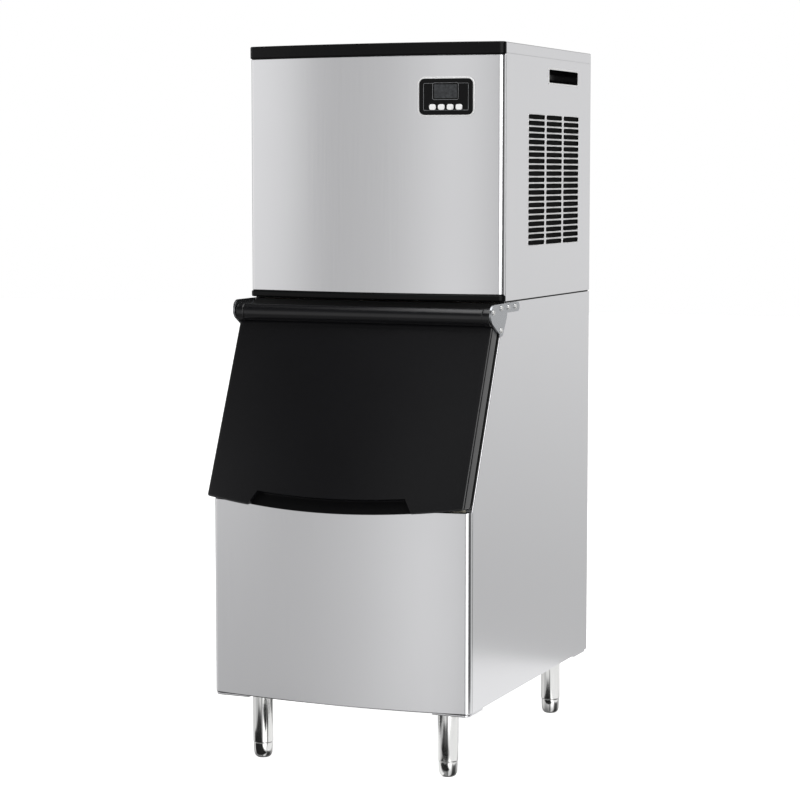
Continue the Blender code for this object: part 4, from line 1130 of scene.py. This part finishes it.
def makeHingePlates():
    innerX = lowOf("right_hinge_plate").x
    outerX = innerX + hingeShape["thickness"]
    rounds = []
    for index, (depth, height, radius) in enumerate(hingeShape["corners"]):
        placeY = atDepth(depth)
        rounds.append(addRound(
            f"plateCorner{index}", (innerX, placeY, height), (outerX, placeY, height), radius, 64,
        ))
    plate = joinPieces(rounds[0], rounds[1:])
    plate.name = plate.data.name = "rightHingePlate"
    openEdit(plate)
    bpy.ops.mesh.select_all(action="SELECT")
    bpy.ops.mesh.convex_hull()
    closeEdit()
    tall = (hingeShape["strapTop"] - hingeShape["strapBottom"]) / 2
    lineZ = hingeShape["strapBottom"] + tall
    endY = atDepth(hingeShape["strapEnd"]) - tall
    startY = atDepth(hingeShape["corners"][1][0])
    strap = addBlock("strap", (innerX, startY, lineZ - tall), (outerX, endY, lineZ + tall))
    strapEnd = addRound("strapEnd", (innerX, endY, lineZ), (outerX, endY, lineZ), tall, 48)
    for extra in (strap, strapEnd):
        cutWith(plate, extra, "UNION")
    chooseOnly(plate)
    roundEdges(plate, hingeShape["edgeRadius"], 3, 50)
    screws = []
    for index, (depth, height, radius) in enumerate(hingeShape["screws"]):
        screws.append(makeScrewHead(
            f"hingeScrew{index + 1}", (outerX - 0.0001, atDepth(depth), height), radius, 1,
        ))
    screwSet = joinPieces(screws[0], screws[1:])
    screwSet.name = "rightHingeScrews"
    leftPlate = mirrorCopy(plate, "leftHingePlate")
    leftScrews = mirrorCopy(screwSet, "leftHingeScrews")
    finishPiece(plate, plated, "cabinet", ("right_hinge_plate",))
    finishPiece(leftPlate, plated, "cabinet", ("left_hinge_plate",))
    for piece in (screwSet, leftScrews):
        finishPiece(piece, polished, "cabinet", smoothDegrees=40)


# Legs and feet
legShape = {
    "radius": 0.0205,
    "flangeRadius": 0.030,
    "flangeHeight": 0.004,
    "footRadius": 0.0195,
    # The foot narrows to its pad: shares of its height and of its radius
    "footSteps": ((0.30, 0.96), (0.12, 0.86), (0.0, 0.66)),
    "footNeck": 0.72,
    "stemRadius": 0.0058,
    "gap": 0.0003,
    "edge": 0.0012,
}


def makeLegs():
    firstLeg, firstFoot = makeLeg(), makeFoot()
    for place in ("front_left", "front_right", "back_left", "back_right"):
        where = middleOf(place + "_leg")
        shift = (where.x, where.y, 0.0)
        words = place.split("_")
        name = words[0] + words[1].title()
        leg = copyPiece(firstLeg, name + "Leg", shift)
        foot = copyPiece(firstFoot, name + "Foot", shift)
        finishPiece(leg, polished, "cabinet", (place + "_leg",), 40)
        finishPiece(foot, polished, place + "_foot", (place + "_foot",), 40)
    for master in (firstLeg, firstFoot):
        bpy.data.objects.remove(master, do_unlink=True)


legPlate = {"length": 0.078, "height": 0.0046, "inset": 0.0012, "corner": 0.012, "edge": 0.0012}


def makeLegPlates():
    # Folded corner plates under the bin that carry the legs, rounded like the cabinet's corners
    frontY, backY = atDepth(cabinet["binDepth"]), cabinet["backY"]
    for name, node, sideX, sideY, edgeY in (
        ("frontLeftLegPlate", "front_left_leg", -1, -1, frontY),
        ("frontRightLegPlate", "front_right_leg", 1, -1, frontY),
        ("backLeftLegPlate", "back_left_leg", -1, 1, backY),
        ("backRightLegPlate", "back_right_leg", 1, 1, backY),
    ):
        outerX = sideX * (cabinet["half"] - legPlate["inset"])
        outerY = edgeY - sideY * legPlate["inset"]
        innerX, innerY = outerX - sideX * legPlate["length"], outerY - sideY * legPlate["length"]
        top = highOf(node).z - legShape["gap"]
        plate = addBlock(
            name, (min(outerX, innerX), min(outerY, innerY), top - legPlate["height"]),
            (max(outerX, innerX), max(outerY, innerY), top),
        )
        atCorner = lambda point: near(point.x, outerX) and near(point.y, outerY)
        pickEdges(plate, lambda edge: bothEnds(edge, atCorner))
        bevelPicked(legPlate["corner"], 8)
        closeEdit()
        roundEdges(plate, legPlate["edge"], 3, 60)
        where = middleOf(node)
        cutWith(plate, addRound(
            "legHole", (where.x, where.y, lowOf(node).z), (where.x, where.y, highOf(node).z + 0.01),
            legShape["flangeRadius"] + legShape["gap"], 48,
        ))
        finishPiece(plate, steelFront, "cabinet")


def makeLeg():
    low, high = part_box("front_left_leg")
    leg = addRound("legMaster", (0, 0, low.z), (0, 0, high.z), legShape["radius"], 64)
    openEdit(leg)
    bpy.ops.mesh.select_all(action="SELECT")
    bpy.ops.mesh.bisect(
        plane_co=(0, 0, high.z - legShape["flangeHeight"]), plane_no=(0, 0, 1), use_fill=False,
    )
    flangeLow = high.z - legShape["flangeHeight"]
    pickFaces(leg, lambda centre, normal: abs(normal.z) < 0.5 and centre.z > flangeLow)
    bpy.ops.mesh.extrude_region_shrink_fatten(
        TRANSFORM_OT_shrink_fatten={
            "value": legShape["flangeRadius"] - legShape["radius"], "use_even_offset": True,
        },
    )
    closeEdit()
    roundEdges(leg, legShape["edge"], 3, 50)
    return leg


def makeFoot():
    top = highOf("front_left_foot").z
    shoulder = lowOf("front_left_leg").z - legShape["gap"]
    foot = addRound("footMaster", (0, 0, 0), (0, 0, shoulder), legShape["footRadius"], 64)
    pickFaces(foot, lambda centre, normal: normal.z < -0.9)
    bpy.ops.transform.translate(value=(0, 0, shoulder * legShape["footNeck"]))
    for height, radius in legShape["footSteps"]:
        bpy.ops.mesh.extrude_region_move(TRANSFORM_OT_translate={"value": (0, 0, 0)})
        current = bmesh.from_edit_mesh(foot.data)
        picked = [v for v in current.verts if v.select]
        now = max(v.co.xy.length for v in picked)
        level = picked[0].co.z
        share = radius * legShape["footRadius"] / now
        bpy.ops.transform.resize(value=(share, share, 1.0), center_override=(0, 0, level))
        bpy.ops.transform.translate(value=(0, 0, height * shoulder - level))
    closeEdit()
    stem = addRound("stem", (0, 0, shoulder - 0.0005), (0, 0, top), legShape["stemRadius"], 24)
    joinPieces(foot, [stem])
    roundEdges(foot, legShape["edge"], 3, 20)
    return foot


# Camera, light and floor
view = {
    "place": (1.9375, -4.9702, 1.1996),
    "yaw": 0.4017,
    "pitch": -0.0949,
    "focalPixels": 2368.1,
    "imagePixels": 800,
    "sensor": 36.0,
}


def makeCamera():
    data = bpy.data.cameras.new("photoCamera")
    camera = bpy.data.objects.new("photoCamera", data)
    bpy.context.scene.collection.objects.link(camera)
    data.sensor_width = view["sensor"]
    data.lens = view["focalPixels"] / view["imagePixels"] * view["sensor"]
    data.clip_start, data.clip_end = 0.1, 100.0
    place = Vector(view["place"])
    camera.location = (place.x, place.y + cabinet["backY"], place.z)
    camera.rotation_euler = (math.pi / 2 + view["pitch"], 0.0, view["yaw"])
    bpy.context.scene.camera = camera


studio = {
    "backdrop": 1.0,
    "brightest": 2.4,
    # Brightness round the room, by degrees from the front towards the right
    "roundStops": (
        (-180, 0.82), (-157, 0.25), (-122, 0.25), (-108, 1.10), (-60, 1.14), (-45, 1.07),
        (-39, 0.93), (-34, 0.61), (-27, 0.67), (-20, 0.70), (-14, 0.84), (-8, 1.02), (-2, 0.95),
        (7, 0.60), (14, 0.30), (25, 1.5), (36, 2.5), (60, 2.0), (76, 0.13), (118, 0.10),
        (138, 0.80), (157, 0.90),
    ),
    # The same for what lies below the horizon
    "lowStops": (
        (-180, 0.68), (-157, 0.25), (-122, 0.25), (-108, 0.95), (-70, 0.82), (-58, 0.61),
        (-40, 0.62), (-30, 0.67), (-20, 0.78), (-13, 0.93), (-7, 1.03), (-1, 0.87), (7, 0.52),
        (14, 0.25), (25, 1.6), (36, 2.5), (60, 2.0), (76, 0.13), (118, 0.10), (138, 0.60),
        (157, 0.66),
    ),
    "lowBlend": (-0.04, -0.17),
    # The same for what stands high, which the sloping door reflects
    "highStops": (
        (-180, 0.60), (-90, 0.20), (-45, 0.05), (-34, 0.15), (-27, 1.00), (-20, 2.00), (-12, 2.30),
        (30, 2.20), (90, 1.00), (180, 0.60),
    ),
    "highBlend": (0.60, 0.72),
    # Brightness by height, where 0 is straight down and 1 is straight up
    "heightStops": (
        (0.0, 0.35), (0.28, 0.35), (0.37, 1.0), (0.60, 1.0), (0.73, 0.22), (0.93, 0.13),
        (0.965, 1.0), (1.0, 1.4),
    ),
    "overhead": {"place": (0.2, -0.6, 3.4), "size": 2.2, "power": 46.0},
    "floorGlow": {"camera": 0.90, "other": 0.30},
    # Cards that only reflections see, as low x, low y, high x, high y and brightness
    "floorCards": (
        (-0.44, -0.72, -0.17, -0.29, 0.02), (-0.02, -0.72, 0.33, -0.41, 0.02),
        (0.08, -0.40, 0.24, -0.31, 0.02), (-0.16, -0.30, 0.20, 0.00, 1.1),
        (0.06, 0.01, 0.27, 0.27, 0.02), (0.31, -0.60, 0.86, 0.85, 1.1),
    ),
    "cardHeight": 0.002,
    # A tall strip light at the front right, seen by the rounded edges that lean back
    "stripLight": {"azimuth": 58, "distance": 3.0, "height": 2.3, "size": (1.7, 2.6), "level": 3.2},
}


def makeWorld():
    world = bpy.data.worlds.new("studioLight")
    bpy.context.scene.world = world
    world.use_nodes = True
    tree = world.node_tree
    tree.nodes.clear()
    where = addNode(tree, "TexCoord")
    parts = addNode(tree, "SeparateXYZ", links={"Vector": (where, "Generated")})
    flipped = addNode(tree, "Math", {"operation": "MULTIPLY", 1: -1.0}, {0: (parts, "Y")})
    azimuth = addNode(tree, "Math", {"operation": "ARCTAN2"}, {
        0: (parts, "X"), 1: (flipped, "Value"),
    })
    turn = addNode(tree, "MapRange", {"From Min": -math.pi, "From Max": math.pi}, {
        "Value": (azimuth, "Value"),
    })
    # The ramps hold shares of the brightest stop, because a ramp's colour ends at 1
    brightest = studio["brightest"]
    rings = {}
    for key in ("roundStops", "lowStops", "highStops"):
        stops = [(degrees / 360 + 0.5, level / brightest) for degrees, level in studio[key]]
        rings[key] = addNode(tree, "ValToRGB", {"stops": stops}, {"Fac": (turn, "Result")})
    around, socket = rings["roundStops"], "Color"
    for key, ring in (("lowBlend", rings["lowStops"]), ("highBlend", rings["highStops"])):
        start, end = studio[key]
        blend = addNode(tree, "MapRange", {"From Min": start, "From Max": end}, {
            "Value": (parts, "Z"),
        })
        around = addNode(tree, "Mix", {"data_type": "RGBA"}, {
            0: (blend, "Result"), 6: (around, socket), 7: (ring, "Color"),
        })
        socket = "Result"
    height = addNode(tree, "MapRange", {"From Min": -1.0}, {"Value": (parts, "Z")})
    stops = [(place, level / brightest) for place, level in studio["heightStops"]]
    heightRamp = addNode(tree, "ValToRGB", {"stops": stops}, {"Fac": (height, "Result")})
    dimmed = addNode(tree, "Mix", {"data_type": "RGBA", "blend_type": "MULTIPLY", 0: 1.0}, {
        6: (around, "Result"), 7: (heightRamp, "Color"),
    })
    light = addNode(tree, "Background", {"Strength": brightest ** 2}, {"Color": (dimmed, "Result")})
    seen = addNode(tree, "Background", {"Color": (1, 1, 1, 1), "Strength": studio["backdrop"]})
    path = addNode(tree, "LightPath")
    both = addNode(tree, "MixShader", links={
        0: (path, "Is Camera Ray"), 1: (light, 0), 2: (seen, 0),
    })
    addNode(tree, "OutputWorld", links={"Surface": (both, 0)})


def makeLights():
    spec = studio["overhead"]
    data = bpy.data.lights.new("overheadSoftbox", "AREA")
    data.size, data.energy = spec["size"], spec["power"]
    lamp = bpy.data.objects.new("overheadSoftbox", data)
    lamp.location = spec["place"]
    bpy.context.scene.collection.objects.link(lamp)


def makeFloor():
    clearSelection()
    bpy.ops.mesh.primitive_plane_add(size=30.0, location=(0.0, 0.0, 0.0))
    floor = startPiece("studioFloor")
    # Matt white paper: it glows a little, as an evenly lit studio sweep does
    glow = studio["floorGlow"]
    made, tree, shader = newMaterial("whiteStudioPaper", "F4F4F2", {
        "Roughness": 0.9, "Specular IOR Level": 0.0, "Emission Color": (1, 1, 1, 1),
        "Emission Strength": glow["other"],
    })
    fibre = addPattern(tree, "TexNoise", {"Scale": 300.0})
    varySurface(tree, shader, fibre, "Fac", ("F2F2F0", "F7F7F5"))
    path = addNode(tree, "LightPath")
    shine = addNode(tree, "MapRange", {"To Min": glow["other"], "To Max": glow["camera"]}, {
        "Value": (path, "Is Camera Ray"),
    })
    feed(tree, shine, "Result", shader, "Emission Strength")
    floor.data.materials.append(made)
    floor.visible_glossy = False
    for index, (lowX, lowY, highX, highY, level) in enumerate(studio["floorCards"]):
        makeCard(
            f"floorCard{index + 1}", ((lowX + highX) / 2, (lowY + highY) / 2, studio["cardHeight"]),
            (highX - lowX, highY - lowY), (0.0, 0.0, 0.0), level,
        )
    strip = studio["stripLight"]
    angle, distance = math.radians(strip["azimuth"]), strip["distance"]
    place = (distance * math.sin(angle), -distance * math.cos(angle), strip["height"])
    turn = (math.radians(90), 0.0, angle)
    makeCard("stripLightCard", place, strip["size"], turn, strip["level"])


def makeCard(name, place, size, turn, level):
    # A card that shows only in reflections
    clearSelection()
    bpy.ops.mesh.primitive_plane_add(size=1.0, location=place, rotation=turn)
    bpy.context.active_object.scale = (size[0], size[1], 1.0)
    card = startPiece(name)
    # Studio card: seen as an even grey, and lit by nothing
    card.data.materials.append(newMaterial(name + "Paint", "000000", {
        "Roughness": 1.0, "Specular IOR Level": 0.0, "Emission Color": (1, 1, 1, 1),
        "Emission Strength": level,
    })[0])
    card.visible_camera = card.visible_diffuse = card.visible_shadow = False
    card.visible_transmission = False


makeCamera()
makeWorld()
makeLights()
makeFloor()
print("camera, light and floor")
makeFronts()
makeTrims()
print("bowed fronts")
makeBinSides()
makeHeadSides()
makeTopCover()
print("side and top sheets")
makeHandleCups()
makeControlPanel()
print("handles and control panel")
makeDoorShell()
makeHingePlates()
print("door and hinges")
makeLegs()
makeLegPlates()
print("legs")

bpy.context.scene.view_settings.view_transform = "Standard"
clearSelection()
